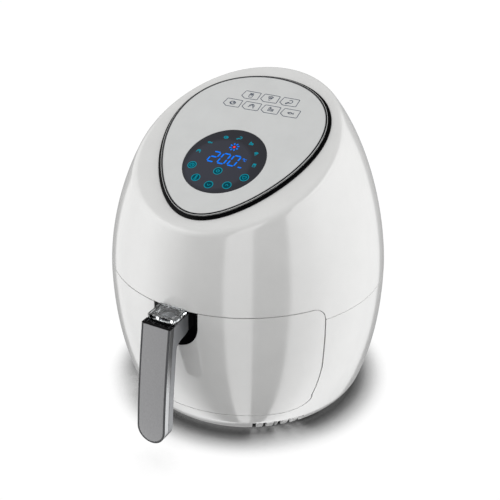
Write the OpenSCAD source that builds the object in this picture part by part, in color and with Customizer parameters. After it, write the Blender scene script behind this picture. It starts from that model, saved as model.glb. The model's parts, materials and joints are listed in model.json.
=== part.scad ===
// Egg-shaped hot-air fryer with a pull-out drawer, a slanted touch panel and a bar handle.
// Millimetres, +Z up, the drawer opens towards -Y. The shapes are drawn about the vertical
// axis of the body, and every node is then moved so that the origin is the middle of the
// footprint on the surface that the feet stand on.

/* [Body] */
// Greatest radius of the egg-shaped body
body_r = 143; // [142:0.5:144]
// Height of the greatest radius
widest_z = 135; // [133:1:137]
// Height over which the upper part of the egg would close
egg_up = 218.5; // [216:0.5:221]
// Depth over which the lower part of the egg would close
egg_down = 229; // [226:0.5:232]
// How far the top of the egg leans back at the height of the panel
lean_back = 7; // [6:0.5:8]
// Thickness of the plastic shells
wall = 2.8; // [2.4:0.1:3]
// Height of the feet under the shell's lower edge
foot_h = 4; // [3.5:0.1:4.5]
// Height of the seam between lower and upper housing
seam_z = 139; // [138:0.5:140]

/* [Panel] */
// Slope of the control panel
panel_tilt = 25.4; // [25:0.1:26]
// Height of the display's centre
display_z = 267.5; // [266:0.5:269]
// Distance of the display's centre in front of the body's axis
display_y = 47; // [46:0.5:48]
// Radius of the round display window
display_r = 41.7; // [41:0.1:42]
// Half the width of the egg-shaped panel at its middle
panel_half_w = 78.8; // [78:0.1:79.5]
// Half the length of the panel along the slope
panel_half_l = 95.1; // [94:0.1:96]
// How much wider the upper end of the panel is than the lower end
panel_egg = 0.25; // [0.24:0.01:0.26]
// Width of the black ring round the panel
bezel_w = 5; // [4.6:0.1:5.2]
// How far the white rim lies below the panel
rim_drop = 4.5; // [4:0.1:5]

/* [Drawer] */
// Height of the drawer front's upper edge
drawer_top = 152.7; // [152:0.1:153]
// Height of the drawer front's lower edge
drawer_bottom = 31; // [30.5:0.5:32]
// Gap round the drawer front
seam_gap = 0.7; // [0.5:0.1:0.9]
// Half the outside width of the pan
pan_half = 98; // [97:0.5:98.5]
// Corner radius of the pan
pan_corner = 50; // [48:1:52]
// Half the outside width of the basket
basket_half = 93; // [92:0.5:94]
// Thickness of the pressed steel
sheet = 0.8; // [0.7:0.1:1]

/* [Handle] */
// How far the handle reaches in front of the body's axis
reach = 192; // [191:0.5:193]
// Width of the handle
grip_w = 31; // [30.6:0.1:31.4]
// Thickness of the handle bar
grip_t = 16.5; // [16:0.5:17]
// Height of the handle's flat top
grip_top = 151.2; // [151:0.1:151.4]
// Height of the handle's lower tip
grip_tip = 29; // [28:0.5:30]
// Travel of the release button
press = 3; // [2.5:0.5:3]

/* [Hidden] */
$fn = 48;

gap = 0.3;
shift_y = (reach - body_r) / 2;
display_at = [0, -display_y, display_z];

// ---------- the egg ----------

fillet_z = 22;
fillet_in = 6.3;

// Radius of the egg at height z, with the rounded lower edge
function egg_r(z) =
    z >= widest_z
        ? body_r * sqrt(max(0, 1 - pow((z - widest_z) / egg_up, 1.8)))
        : body_r * sqrt(1 - pow((widest_z - z) / egg_down, 2.2))
            - (z < fillet_z ? fillet_in * pow((fillet_z - z) / (fillet_z - foot_h), 2.2) : 0);

// The sections above the drawer lie further and further back
lean_z = drawer_top + gap;
function egg_c(z) = z <= lean_z ? 0 : lean_back * pow((z - lean_z) / (display_z + 2.5 - lean_z), 2);

// The round lower part of the egg as a profile from z0 to z1, moved in by d
function egg_side(z0, z1, d, n) = [for (i = [0 : n]) let (z = z0 + (z1 - z0) * i / n) [egg_r(z) - d, z]];

module egg_solid(z0, z1, d, n = 14) {
    rotate_extrude() polygon(concat([[0, z0]], egg_side(z0, z1, d, n), [[0, z1]]));
}

module egg_shell(z0, z1, out, in, n = 14) {
    side = egg_side(z0, z1, in, n);
    rotate_extrude()
        polygon(concat(egg_side(z0, z1, out, n), [for (i = [n : -1 : 0]) side[i]]));
}

// ---------- outlines ----------

function unit(v) = v / norm(v);

// Moves a closed anticlockwise outline outwards by d
function grow(pts, d) = let (n = len(pts)) [
    for (i = [0 : n - 1])
        let (t = unit(pts[(i + 1) % n] - pts[(i + n - 1) % n])) pts[i] + d * [t[1], -t[0]]
];

// A rectangle with round corners: half width, low and high y, radius of each pair of corners
function round_box(hx, y0, y1, r0, r1, n = 8) = concat(
    [for (i = [0 : n]) [hx - r0, y0 + r0] + r0 * [cos(-90 + 90 * i / n), sin(-90 + 90 * i / n)]],
    [for (i = [0 : n]) [hx - r1, y1 - r1] + r1 * [cos(90 * i / n), sin(90 * i / n)]],
    [for (i = [0 : n]) [r1 - hx, y1 - r1] + r1 * [cos(90 + 90 * i / n), sin(90 + 90 * i / n)]],
    [for (i = [0 : n]) [r0 - hx, y0 + r0] + r0 * [cos(180 + 90 * i / n), sin(180 + 90 * i / n)]]
);

// The egg-shaped outline of the panel, in the plane of the panel
panel_mid = 25.6;
panel_n = 72;
function panel_point(a) =
    [panel_half_w * sin(a) * (1 + panel_egg * cos(a)), panel_mid + panel_half_l * cos(a)];
function panel_outline(d) =
    grow([for (i = [0 : panel_n - 1]) panel_point(-360 * i / panel_n)], d);

module on_panel() {
    translate(display_at) rotate([panel_tilt, 0, 0]) children();
}

module panel_plate(d, n0, n1) {
    translate([0, 0, n0]) linear_extrude(n1 - n0) polygon(panel_outline(d));
}

// Outline of the drawer front seen from the front, as x and z
side_angle = 60;
corner_x = 7.5;
corner_z = 14;
foot_x = 88;
foot_z = 48;
function drawer_side(z) =
    egg_r(z) * sin(side_angle - (z < 85 ? 3 * pow((85 - z) / 39, 1.5) : 0));
function drawer_half(n = 9) = concat(
    [for (i = [0 : n])
        [foot_x + (drawer_side(foot_z) - foot_x) * sin(90 * i / n),
            foot_z - (foot_z - drawer_bottom) * cos(90 * i / n)]],
    [for (i = [1 : n]) let (z = foot_z + (drawer_top - corner_z - foot_z) * i / n) [drawer_side(z), z]],
    [for (i = [1 : n])
        [drawer_side(drawer_top - corner_z) - corner_x * (1 - cos(90 * i / n)),
            drawer_top - corner_z * (1 - sin(90 * i / n))]]
);
function drawer_outline(d) = let (h = drawer_half(), k = len(h))
    grow(concat(h, [for (i = [k - 1 : -1 : 0]) [-h[i][0], h[i][1]]]), d);

module drawer_prism(d, y0, y1) {
    translate([0, y1, 0]) rotate([90, 0, 0]) linear_extrude(y1 - y0) polygon(drawer_outline(d));
}

// U-shaped plate round the handle's root, seen from the front
mount_half = 24;
mount_z = 137;
module mount_prism(d, y0, y1) {
    r = mount_half + d;
    pts = concat([for (i = [0 : 20]) [-r * cos(9 * i), mount_z - r * sin(9 * i)]],
        [[r, drawer_top + 12], [-r, drawer_top + 12]]);
    translate([0, y1, 0]) rotate([90, 0, 0]) linear_extrude(y1 - y0) polygon(pts);
}

// ---------- sweeps ----------

// A round tube of the given number of sides along a list of points, as one closed solid
module tube(pts, r, sides = 8) {
    n = len(pts);
    side = unit(cross(unit(pts[1] - pts[0]), [0.31, 0.52, 0.8]));
    frames = [for (i = 0, s = side; i < n;
        i = i + 1,
        s = i < n
            ? let (t = unit(pts[min(i + 1, n - 1)] - pts[max(i - 1, 0)])) unit(s - t * (s * t))
            : s)
        let (t = unit(pts[min(i + 1, n - 1)] - pts[max(i - 1, 0)])) [s, cross(t, s)]];
    points = [for (i = [0 : n - 1]) for (k = [0 : sides - 1])
        pts[i] + r * (cos(360 * k / sides) * frames[i][0] + sin(360 * k / sides) * frames[i][1])];
    walls = [for (i = [0 : n - 2]) for (k = [0 : sides - 1]) let (j = (k + 1) % sides)
        [i * sides + k, (i + 1) * sides + k, (i + 1) * sides + j, i * sides + j]];
    ends = [[for (k = [0 : sides - 1]) k], [for (k = [sides - 1 : -1 : 0]) (n - 1) * sides + k]];
    polyhedron(points, concat(ends, walls));
}

// A ring-shaped solid from closed sections, each a list of the same number of points
module closed_sweep(rows) {
    n = len(rows);
    m = len(rows[0]);
    points = [for (row = rows) for (p = row) p];
    faces = [for (i = [0 : n - 1]) for (k = [0 : m - 1]) let (j = (i + 1) % n, l = (k + 1) % m)
        each [[i * m + k, j * m + k, j * m + l], [i * m + k, j * m + l, i * m + l]]];
    polyhedron(points, faces);
}

// ---------- fasteners ----------

// A pan-head screw, head at z = 0 pointing up, shank going down
module screw(head_r, head_h, shank_r, length) {
    difference() {
        union() {
            cylinder(h = head_h, r1 = head_r, r2 = head_r * 0.8);
            translate([0, 0, -length]) cylinder(h = length + 0.1, r = shank_r);
        }
        for (a = [0, 90]) rotate([0, 0, a])
            translate([-head_r * 0.55, -0.4, head_h * 0.45]) cube([head_r * 1.1, 0.8, head_h]);
    }
}

module polar(r, angles) {
    for (a = angles) rotate([0, 0, a]) translate([r, 0, 0]) children();
}

// ---------- housings ----------

flange_z = 8.2;
flange_t = 2.5;
flange_in = 98;
vent_angles = [32 : 5 : 57];
vent_w = 4;
vent_top = 18;
feet_r = 88;
corners = [45, 135, 225, 315];
base_screw_r = 103;
base_screw_angles = [20, 90, 160, 200, 270, 340];
screw_r = 1.95;
hole_r = 2;
grille_half = 40;
grille_z = [88, 130];
gland_z = 45;
gland_r = 7;
gland_tilt = 12;

// The cord's outlet stands square to the sloping wall at the back
module at_gland() {
    translate([0, egg_r(gland_z), gland_z]) rotate([-90 - gland_tilt, 0, 0]) children();
}

module lower_housing() {
    side = egg_side(foot_h, seam_z, wall, 16);
    flange = [[egg_r(flange_z + flange_t) - wall, flange_z + flange_t],
        [flange_in, flange_z + flange_t], [flange_in, flange_z], [egg_r(flange_z) - wall, flange_z]];
    above = [for (p = side) if (p[1] > flange_z + flange_t) p];
    below = [for (p = side) if (p[1] < flange_z) p];
    profile = concat(egg_side(foot_h, seam_z, 0, 16),
        [for (i = [len(above) - 1 : -1 : 0]) above[i]], flange,
        [for (i = [len(below) - 1 : -1 : 0]) below[i]]);
    color("white") difference() {
        rotate_extrude() polygon(profile);
        drawer_prism(seam_gap / 2, -body_r - 10, 0);
        for (s = [-1, 1]) for (a = vent_angles) rotate([0, 0, s * a])
            translate([-vent_w / 2, -body_r, foot_h - 1]) cube([vent_w, 29, vent_top - foot_h + 1]);
        translate([-grille_half, 100, grille_z[0]])
            cube([2 * grille_half, 60, grille_z[1] - grille_z[0]]);
        at_gland() translate([0, 0, -20]) cylinder(h = 40, r = gland_r);
        polar(base_screw_r, base_screw_angles) cylinder(h = 30, r = hole_r);
    }
}

// The upper housing is swept round the body: each column of points climbs the egg from the seam,
// turns over a round edge and runs down into the panel's opening, and returns inside the wall.
// The drawer front's outline is then cut out of its lower edge.
rim_round = 6;
rim_rows = 8;
rim_turns = 5;
opening = bezel_w + gap;

// Height of the panel's plane moved n along its normal, above a point at y
function slope_z(y, n) = display_z + (y + display_y) * tan(panel_tilt) + n / cos(panel_tilt);

// Height at which the egg meets that plane in direction a from the front
function edge_z(a, n, z = 280, i = 16) =
    i == 0 ? z : edge_z(a, n, slope_z(egg_c(z) - egg_r(z) * cos(a), n), i - 1);
function egg_point(a, z, d = 0) =
    [(egg_r(z) - d) * sin(a), egg_c(z) - (egg_r(z) - d) * cos(a), z];

// A point of the panel's plane in the body's axes
function from_panel(p, n) = display_at
    + [p[0], p[1] * cos(panel_tilt) - n * sin(panel_tilt), p[1] * sin(panel_tilt) + n * cos(panel_tilt)];

function bezier(a, b, c, t) = (1 - t) * (1 - t) * a + 2 * t * (1 - t) * b + t * t * c;

function rim_column(a) =
    let (
        inner = from_panel(grow([for (s = [-1, 0, 1]) panel_point(180 - a + s)], -opening)[1], -rim_drop),
        ze = edge_z(a, -2.5),
        corner = egg_point(a, ze),
        turn = min(rim_round, 0.8 * norm(inner - corner)),
        below = egg_point(a, ze - turn * 0.9),
        over = corner + turn * unit(inner - corner)
    )
    concat(
        [for (i = [0 : rim_rows - 1]) egg_point(a, seam_z + (below[2] - seam_z) * i / rim_rows)],
        [for (i = [0 : rim_turns]) bezier(below, corner, over, i / rim_turns)],
        [inner]
    );

// Inward normals of a column, so that the inside of the wall runs parallel to the outside
function column_inside(col, a) = let (n = len(col), s = [cos(a), sin(a), 0])
    [for (i = [0 : n - 1])
        let (t = unit(col[min(i + 1, n - 1)] - col[max(i - 1, 0)]))
        let (p = col[i] + wall * unit(cross(t, s)))
        i == 0 ? [p[0], p[1], col[0][2]] : p];

module upper_housing() {
    rows = [for (i = [0 : panel_n - 1])
        let (a = 360 * i / panel_n, col = rim_column(a), ins = column_inside(col, a))
        concat(col, [for (k = [len(ins) - 1 : -1 : 0]) ins[k]])];
    color("white") difference() {
        closed_sweep(rows);
        drawer_prism(seam_gap / 2, -body_r - 10, -40);
    }
}

// ---------- base ----------

plate_z = 5.2;
plate_r = 108.5;

module base_plate() {
    color("#2b2c2f") difference() {
        translate([0, 0, plate_z]) cylinder(h = flange_z - plate_z, r = plate_r);
        for (x = [-60 : 12 : 60]) translate([x - 2, -45, 0]) cube([4, 90, 20]);
        polar(feet_r, corners) cylinder(h = 20, r = hole_r);
        polar(base_screw_r, base_screw_angles) cylinder(h = 20, r = hole_r);
    }
}

module feet() {
    color("#202124") polar(feet_r, corners) difference() {
        rotate_extrude() polygon([[0, 0], [8, 0], [9.5, 1.5], [9.5, plate_z], [0, plate_z]]);
        translate([0, 0, -1]) cylinder(h = 10, r = hole_r);
        translate([0, 0, -1]) cylinder(h = 3.5, r = 4.5);
    }
}

module foot_screws() {
    color("silver") polar(feet_r, corners)
        translate([0, 0, 2.5]) rotate([180, 0, 0]) screw(3.8, 1.8, screw_r, 9);
}

module base_screws() {
    color("silver") polar(base_screw_r, base_screw_angles)
        translate([0, 0, plate_z]) rotate([180, 0, 0]) screw(3.6, 1.1, screw_r, 9);
}

// ---------- frames inside the shells ----------

frame_y = -62;
chamber_half = 105.7;
chamber_corner = 66;
chamber_z = [36, 161.2];
chamber_in = chamber_half - sheet;

module mid_frame() {
    r = egg_r(seam_z) - wall - 3 * gap;
    color("#c9cac8") difference() {
        rotate_extrude() polygon([[124, seam_z - 3], [r, seam_z - 3], [r, seam_z + 4],
            [136, seam_z + 4], [136, seam_z], [124, seam_z]]);
        translate([-200, -200, 0]) cube([400, 200 + frame_y + 6, 300]);
    }
}

module aperture_frame() {
    color("#3a3b3e") difference() {
        intersection() {
            egg_solid(22, 157, wall + gap);
            translate([-body_r, frame_y - 4, 24]) cube([2 * body_r, 4, 131]);
        }
        translate([0, frame_y + 1, 0]) rotate([90, 0, 0])
            linear_extrude(6) polygon(round_box(chamber_in, 37.2, 150, 6, 6, 4));
    }
}

module rear_grille() {
    h = grille_z[1] - grille_z[0] - 2 * gap;
    color("#4a4b4e") difference() {
        intersection() {
            egg_shell(80, 138, 0.4, wall + 2);
            translate([-grille_half + gap, 100, grille_z[0] + gap])
                cube([2 * (grille_half - gap), 60, h]);
        }
        for (z = [grille_z[0] + 5 : 6 : grille_z[1] - 6]) for (x = [-grille_half + 4, 2])
            translate([x, 100, z]) cube([grille_half - 6, 60, 2.6]);
    }
}

module cord_gland() {
    color("#202124") at_gland() difference() {
        union() {
            translate([0, 0, -9]) cylinder(h = 14, r = gland_r - 0.1);
            translate([0, 0, 0.5]) cylinder(h = 2, r = gland_r + 2);
            translate([0, 0, -9]) cylinder(h = 3, r = gland_r + 2);
        }
        translate([0, 0, -12]) cylinder(h = 24, r = 3.6);
    }
}

module terminal_block() {
    color("ivory") difference() {
        translate([18, 64, flange_z]) cube([34, 16, 14]);
        for (i = [0 : 2]) translate([24 + 11 * i, 72, 14]) cylinder(h = 20, r = 2.6);
        for (i = [0 : 2]) translate([24 + 11 * i, 54, 14]) rotate([-90, 0, 0]) cylinder(h = 40, r = 1.6);
    }
}

// ---------- cooking chamber ----------

module cooking_chamber() {
    h = chamber_z[1] - chamber_z[0];
    color("silver") difference() {
        translate([0, 0, chamber_z[0]]) linear_extrude(h)
            polygon(round_box(chamber_half, frame_y, chamber_half, 1, chamber_corner));
        translate([0, 0, chamber_z[0] + sheet]) linear_extrude(h - 2 * sheet)
            polygon(round_box(chamber_in, frame_y - 20, chamber_in, 1, chamber_corner - sheet));
        translate([0, 0, 100]) cylinder(h = 100, r = 80);
        translate([-30, 90, 98]) cube([60, 40, 26]);
        translate([0, sensor_y, 100]) cylinder(h = 100, r = 2.1);
        for (p = post_at) translate([p[0], p[1], 100]) cylinder(h = 100, r = hole_r);
    }
}

module drawer_guides() {
    color("silver") for (s = [-1, 1]) scale([s, 1, 1])
        translate([99.2, frame_y + 2, 143]) difference() {
            cube([chamber_in - 99.2, 98, 3.2]);
            translate([-1, -1, -1]) cube([3, 100, 2.2]);
        }
}

dome_r = 88;
dome_z = [161.2, 205.2];
module fan_dome() {
    color("#b9bbbd") difference() {
        rotate_extrude() polygon([[dome_r, dome_z[0]], [91.5, dome_z[0]], [91.5, dome_z[0] + sheet],
            [dome_r + sheet, dome_z[0] + sheet], [dome_r + sheet, dome_z[1] - 4],
            [dome_r - 4, dome_z[1]], [5, dome_z[1]], [5, dome_z[1] - sheet],
            [dome_r - 4.6, dome_z[1] - sheet], [dome_r, dome_z[1] - 4.6]]);
        for (x = [-leg_x, leg_x]) translate([x, leg_y, 190]) cylinder(h = 30, r = heater_r + 0.8);
    }
}

module exhaust_duct() {
    color("#d0d1d2") difference() {
        translate([-31.2, chamber_half + 0.2, 96.8]) cube([62.4, 22, 28.4]);
        translate([-30, 90, 98]) cube([60, 60, 26]);
    }
}

// ---------- heater ----------

heater_z = 168;
heater_r = 3.2;
leg_x = 8;
leg_y = 74.6;
coil_r = [30, 66];
coil_a = [83, 795];
module heater_element() {
    steps = 72;
    spiral = [for (i = [0 : steps])
        let (t = i / steps, a = coil_a[0] + (coil_a[1] - coil_a[0]) * t,
            r = coil_r[0] + (coil_r[1] - coil_r[0]) * t)
        [r * cos(a), r * sin(a), heater_z]];
    inner_leg = [[-leg_x, leg_y, 212], [-leg_x, leg_y, 168], [-leg_x + 0.6, leg_y - 2, 163.5],
        [-6, 67, 161], [-1, 52, 160.6], [4, 38, 161], [7.5, 32, 163.5], [6.5, 30, 167]];
    outer_leg = [[12, 67.5, heater_z + 0.5], [leg_x + 0.5, 72, heater_z + 3], [leg_x, leg_y, heater_z + 8],
        [leg_x, leg_y, 212]];
    color("#6d6660") tube(concat(inner_leg, spiral, outer_leg), heater_r);
}

module heater_brackets() {
    color("silver") polar(0, [0, 120, 240]) {
        translate([30, -3, heater_z - heater_r - 1.4]) cube([56, 6, 1]);
        translate([81, -3, heater_z - heater_r - 3.6]) cube([5, 6, 2.3]);
    }
}

sensor_y = 97;
module temperature_sensor() {
    color("silver") translate([0, sensor_y, 0]) {
        translate([0, 0, 151]) cylinder(h = 23, r = 2);
        translate([0, 0, chamber_z[1]]) cylinder(h = 3, r = 4.5);
    }
}

module thermal_fuse() {
    color("#d8d3c4") translate([52, 40, dome_z[1]]) {
        translate([-9, -4, 0]) cube([18, 8, 1]);
        translate([0, 0, 4]) rotate([0, 90, 0]) translate([0, 0, -7]) cylinder(h = 14, r = 3);
    }
}

module interlock_switch() {
    color("#1f2937") difference() {
        translate([chamber_half, frame_y + 1, 118]) cube([6.4, 20, 10.5]);
        for (y = [6, 15]) translate([chamber_half - 1, frame_y + y, 121])
            rotate([0, 90, 0]) cylinder(h = 10, r = 1.5);
    }
    color("silver") translate([chamber_half + 2, frame_y + 0.2, 121]) cube([2.4, 0.8, 4]);
}

// ---------- fan drive ----------

deck_z = 224;
deck_t = 1.6;
post_at = [[76, -59], [76, 59], [-76, 59], [-76, -59]];
motor_r = 29;
motor_top = 258;
shaft_r = 3;

module deck_posts() {
    color("silver") for (p = post_at) translate([p[0], p[1], 0]) {
        translate([0, 0, chamber_z[1]]) cylinder(h = deck_z - chamber_z[1], r = 4, $fn = 6);
        translate([0, 0, chamber_z[1] - 6]) cylinder(h = 6.5, r = screw_r);
    }
}

module motor_deck() {
    color("#b9bbbd") difference() {
        translate([0, 0, deck_z]) cylinder(h = deck_t, r = 98);
        translate([0, 0, deck_z - 1]) cylinder(h = 5, r = 12);
        for (a = [0 : 45 : 315]) if (a % 180 != 0) rotate([0, 0, a])
            translate([46, -9, deck_z - 1]) cube([26, 18, 5]);
        for (p = post_at) translate([p[0], p[1], deck_z - 1]) cylinder(h = 5, r = hole_r + 0.5);
        for (s = [-1, 1]) translate([s * 37, 0, deck_z - 1]) cylinder(h = 5, r = hole_r);
    }
}

module deck_screws() {
    color("silver") for (p = post_at)
        translate([p[0], p[1], deck_z + deck_t]) screw(4, 2, 2.3, deck_t);
}

module fan_motor() {
    color("#8a8d90") difference() {
        union() {
            translate([0, 0, deck_z + deck_t]) cylinder(h = motor_top - deck_z - deck_t, r = motor_r);
            translate([-43, -8, deck_z + deck_t]) cube([86, 16, 2]);
            translate([0, 0, deck_z - 4]) cylinder(h = 8, r = 11);
        }
        translate([0, 0, deck_z - 10]) cylinder(h = 60, r = shaft_r + 0.05);
        for (s = [-1, 1]) translate([s * 37, 0, deck_z]) cylinder(h = 6, r = hole_r);
        for (a = [22.5 : 45 : 340]) rotate([0, 0, a]) translate([motor_r - 3, -3, deck_z + 12])
            cube([6, 6, 12]);
    }
}

module motor_screws() {
    color("silver") for (s = [-1, 1])
        translate([s * 37, 0, deck_z + deck_t + 2]) screw(3.6, 1.8, screw_r, 8);
}

module fan_shaft() {
    color("silver") translate([0, 0, 170]) cylinder(h = motor_top + 4 - 170, r = shaft_r);
}

module blades(n, r0, r1, z0, z1, t, pitch) {
    for (i = [0 : n - 1]) rotate([0, 0, 360 * i / n]) translate([r0, 0, (z0 + z1) / 2])
        rotate([pitch, 0, 0]) translate([0, -t / 2, (z0 - z1) / 2]) cube([r1 - r0, t, z1 - z0]);
}

module convection_fan() {
    color("#c6c8ca") difference() {
        union() {
            translate([0, 0, 190]) cylinder(h = 1.2, r = 60);
            translate([0, 0, 176]) cylinder(h = 15.2, r = 8);
            blades(12, 24, 59, 177, 190.2, 1.2, 0);
        }
        translate([0, 0, 170]) cylinder(h = 30, r = shaft_r + 0.02);
    }
}

module cooling_fan() {
    color("#404247") difference() {
        union() {
            translate([0, 0, 208.4]) cylinder(h = 9, r = 9);
            blades(7, 7, 46, 208.6, 216.6, 1.4, 40);
        }
        translate([0, 0, 200]) cylinder(h = 30, r = shaft_r + 0.02);
    }
}

module fan_nut() {
    color("silver") difference() {
        translate([0, 0, 171.6]) cylinder(h = 4.2, r = 5.6, $fn = 6);
        translate([0, 0, 165]) cylinder(h = 20, r = shaft_r + 0.02);
    }
}

// ---------- electronics ----------

board_y = 64;
module power_board() {
    color("#2f6b3f") translate([-45, board_y, 230]) cube([90, 1.6, 46]);
    color("#1d2a44") translate([-36, board_y - 18, 236]) cube([22, 18, 16]);
    color("#d9d5c6") translate([-6, board_y - 14, 236]) cube([24, 14, 20]);
    color("#30343a") for (i = [0 : 2])
        translate([30, board_y, 238 + 12 * i]) rotate([90, 0, 0]) cylinder(h = 12, r = 4.5);
}

module board_bracket() {
    color("silver") {
        translate([-47, board_y + 1.6, deck_z + deck_t]) cube([94, 1.4, 52]);
        translate([-47, board_y + 1.6, deck_z + deck_t]) cube([94, 12, 1.4]);
    }
}

loom_points = [[35, 61.6, 17], [27, 61, 25], [5, 74, 27], [-30, 92, 26], [-47, 104, 27], [-56, 109, 38],
    [-56, 108, 70], [-56, 108, 110], [-56, 108, 160], [-56, 107, 200], [-54, 100, 224], [-51, 86, 240],
    [-51, 72, 250], [-48, 58, 256], [-42, 54, 256]];
module wiring_loom() {
    color("#3d3d42") tube(loom_points, 2.1);
}

// ---------- control panel ----------

// Section of the black ring: distance outside the panel's edge and height over the panel. Its
// outside slants down to the white rim, and the panel lies in the step on its inside.
bezel_section = [[-3.5, -2.6], [-3.5, -9], [bezel_w, -9], [bezel_w, 0.3 - rim_drop], [1.9, -0.1],
    [1.3, 0.4], [0.15, 0.4], [0.15, -2.6]];
module bezel_ring() {
    outlines = [for (p = bezel_section) panel_outline(p[0])];
    color("#0c0c0f") closed_sweep([for (i = [0 : panel_n - 1])
        [for (k = [0 : len(bezel_section) - 1]) from_panel(outlines[k][i], bezel_section[k][1])]]);
}

module control_fascia() {
    color("#cfd1d0") on_panel() difference() {
        panel_plate(0, -2.5, 0);
        translate([0, 0, -5]) cylinder(h = 10, r = display_r + 0.1);
    }
}

module display_lens() {
    color("#3c3f4b") on_panel() translate([0, 0, -2.5]) cylinder(h = 2.55, r = display_r);
}

module display_bracket() {
    color("#202124") on_panel() difference() {
        translate([0, 0, -8.4]) cylinder(h = 5.9, r = 47);
        translate([0, 0, -10]) cylinder(h = 10, r = 43);
    }
}

module display_board() {
    color("#2f6b3f") on_panel() translate([0, 0, -10]) cylinder(h = 1.6, r = 46.5);
    color("#14161c") on_panel() translate([-22, -9, -8.4]) cube([44, 18, 5.6]);
    color("#1d2a44") on_panel() translate([-18, 24, -8.4]) cube([10, 10, 1.6]);
}

// ---------- drawer ----------

bracket_y = -pan_half - 4;
pan_screw_x = [-42, 42];
pan_screw_z = [62, 128];
module drawer_front() {
    color("white") difference() {
        intersection() {
            egg_shell(20, 160, 0, wall);
            drawer_prism(-seam_gap / 2, -body_r - 10, -40);
        }
        mount_prism(0.25, -body_r - 10, -100);
    }
}

module drawer_bracket() {
    color("#d9dad8") difference() {
        intersection() {
            egg_solid(20, 160, wall + gap);
            translate([-82, -body_r, 46]) cube([164, body_r + bracket_y, 100]);
        }
        for (x = [-79.4 : 32 : 50]) for (z = [48.6 : 32.4 : 130])
            translate([x, -body_r - 1, z]) cube([29.4, body_r + bracket_y - 2, 29.8]);
        mount_prism(0.5, -body_r - 10, -120);
        translate([-6, -body_r, 128]) cube([12, body_r + bracket_y - 4, 30]);
        for (x = pan_screw_x) for (z = pan_screw_z) translate([x, -130, z])
            rotate([-90, 0, 0]) cylinder(h = 40, r = hole_r);
    }
}

pan_z = [42, 148];
module pan() {
    h = pan_z[1] - pan_z[0];
    color("#3f4145") difference() {
        union() {
            translate([0, 0, pan_z[0]]) linear_extrude(h)
                polygon(round_box(pan_half, bracket_y, pan_half, pan_corner, pan_corner));
            translate([0, 0, pan_z[1] - sheet]) linear_extrude(sheet)
                polygon(round_box(pan_half + 3, bracket_y, pan_half + 3, pan_corner, pan_corner + 3));
        }
        translate([0, 0, pan_z[0] + sheet]) linear_extrude(h) polygon(round_box(pan_half - sheet,
            bracket_y + sheet, pan_half - sheet, pan_corner - sheet, pan_corner - sheet));
        for (x = pan_screw_x) for (z = pan_screw_z) translate([x, -130, z])
            rotate([-90, 0, 0]) cylinder(h = 60, r = hole_r);
    }
}

module pan_screws() {
    color("silver") for (x = pan_screw_x) for (z = pan_screw_z)
        translate([x, bracket_y + sheet, z]) rotate([-90, 0, 0]) screw(3.8, 1.6, screw_r, 8);
}

basket_z = [50, 146];
module basket() {
    h = basket_z[1] - basket_z[0];
    in = basket_half - sheet;
    color("#4a4c50") difference() {
        union() {
            translate([0, 0, basket_z[0]]) linear_extrude(h)
                polygon(round_box(basket_half, -basket_half, basket_half, 46, 46));
            translate([0, 0, basket_z[1] - sheet]) linear_extrude(sheet)
                polygon(round_box(basket_half + 2.5, -basket_half - 2.5, basket_half + 2.5, 48.5, 48.5));
        }
        translate([0, 0, basket_z[0] + sheet]) linear_extrude(h)
            polygon(round_box(in, -in, in, 46 - sheet, 46 - sheet));
        for (x = [-63 : 18 : 63]) for (y = [-63 : 18 : 63]) translate([x, y, 40]) cylinder(h = 20, r = 4);
        for (x = [-36 : 12 : 36]) translate([x - 2, -120, 60]) cube([4, 240, 26]);
        for (y = [-36 : 12 : 36]) translate([-120, y - 2, 60]) cube([240, 4, 26]);
    }
}

module basket_bumpers() {
    color("#b8552c") for (x = [-54, 54]) for (y = [-54, 54])
        translate([x, y, pan_z[0] + sheet]) cylinder(h = basket_z[0] - pan_z[0] - sheet, r = 5);
}

// ---------- handle ----------

grip_back = 139;
grip_lean = 18.5;
cap_y = [0.1 + grip_lean - reach, -165];
cap_t = 1.2;
trim_w = 2;
trim_t = 6.8;
bar_top = grip_top - cap_t;
function grip_front(z) = let (t = min(1, max(0, (grip_top - z) / (grip_top - grip_tip))))
    -reach + grip_lean * pow(1 - t, 1.35);

// A layer of the bar: half width hw, from depth d0 to d1 behind the front, up to z1
module grip_layer(hw, d0, d1, z1, n = 16) {
    tip = grip_tip + grip_w / 2 - hw;
    side = [for (i = [0 : n]) let (z = tip - 2 + (z1 - tip + 2) * i / n) [grip_front(z), z]];
    intersection() {
        rotate([90, 0, 90]) translate([0, 0, -hw - 1]) linear_extrude(2 * hw + 2)
            polygon(concat([for (p = side) [p[0] + d0, p[1]]],
                [for (i = [n : -1 : 0]) [side[i][0] + d1, side[i][1]]]));
        translate([0, -100, 0]) rotate([90, 0, 0]) linear_extrude(120)
            polygon(concat([for (i = [0 : 16]) let (a = 180 + 180 * i / 16)
                [hw * cos(a), tip + hw + hw * sin(a)]], [[hw, z1], [-hw, z1]]));
    }
}

button_y = -152;
button_r = 9.5;
button_top = 150.9;
button_z = 146.9;
pocket_z = button_z - press - 0.6;
spring_z = 138.5;
lever_half = 2.5;
lever_z = [142, 144.6];
pivot_y = -131.5;
pivot_z = (lever_z[0] + lever_z[1]) / 2;
pin_r = 1.5;
screw_x = 10.5;
screw_z = 141;
rail_x = 12;

// Side view of the neck: flat top and underside, and a hollow curve where it meets the bar
module neck(hw) {
    curve = [for (i = [0 : 8]) [-152.9 - 10.4 * cos(11.25 * i), 120.5 + 9.5 * sin(11.25 * i)]];
    rotate([90, 0, 90]) translate([0, 0, -hw]) linear_extrude(2 * hw)
        polygon(concat(curve, [[-144, 131.5], [-grip_back, 135], [-grip_back, grip_top],
            [-167, grip_top], [-168.8, 140], [-172, 119]]));
}

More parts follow.
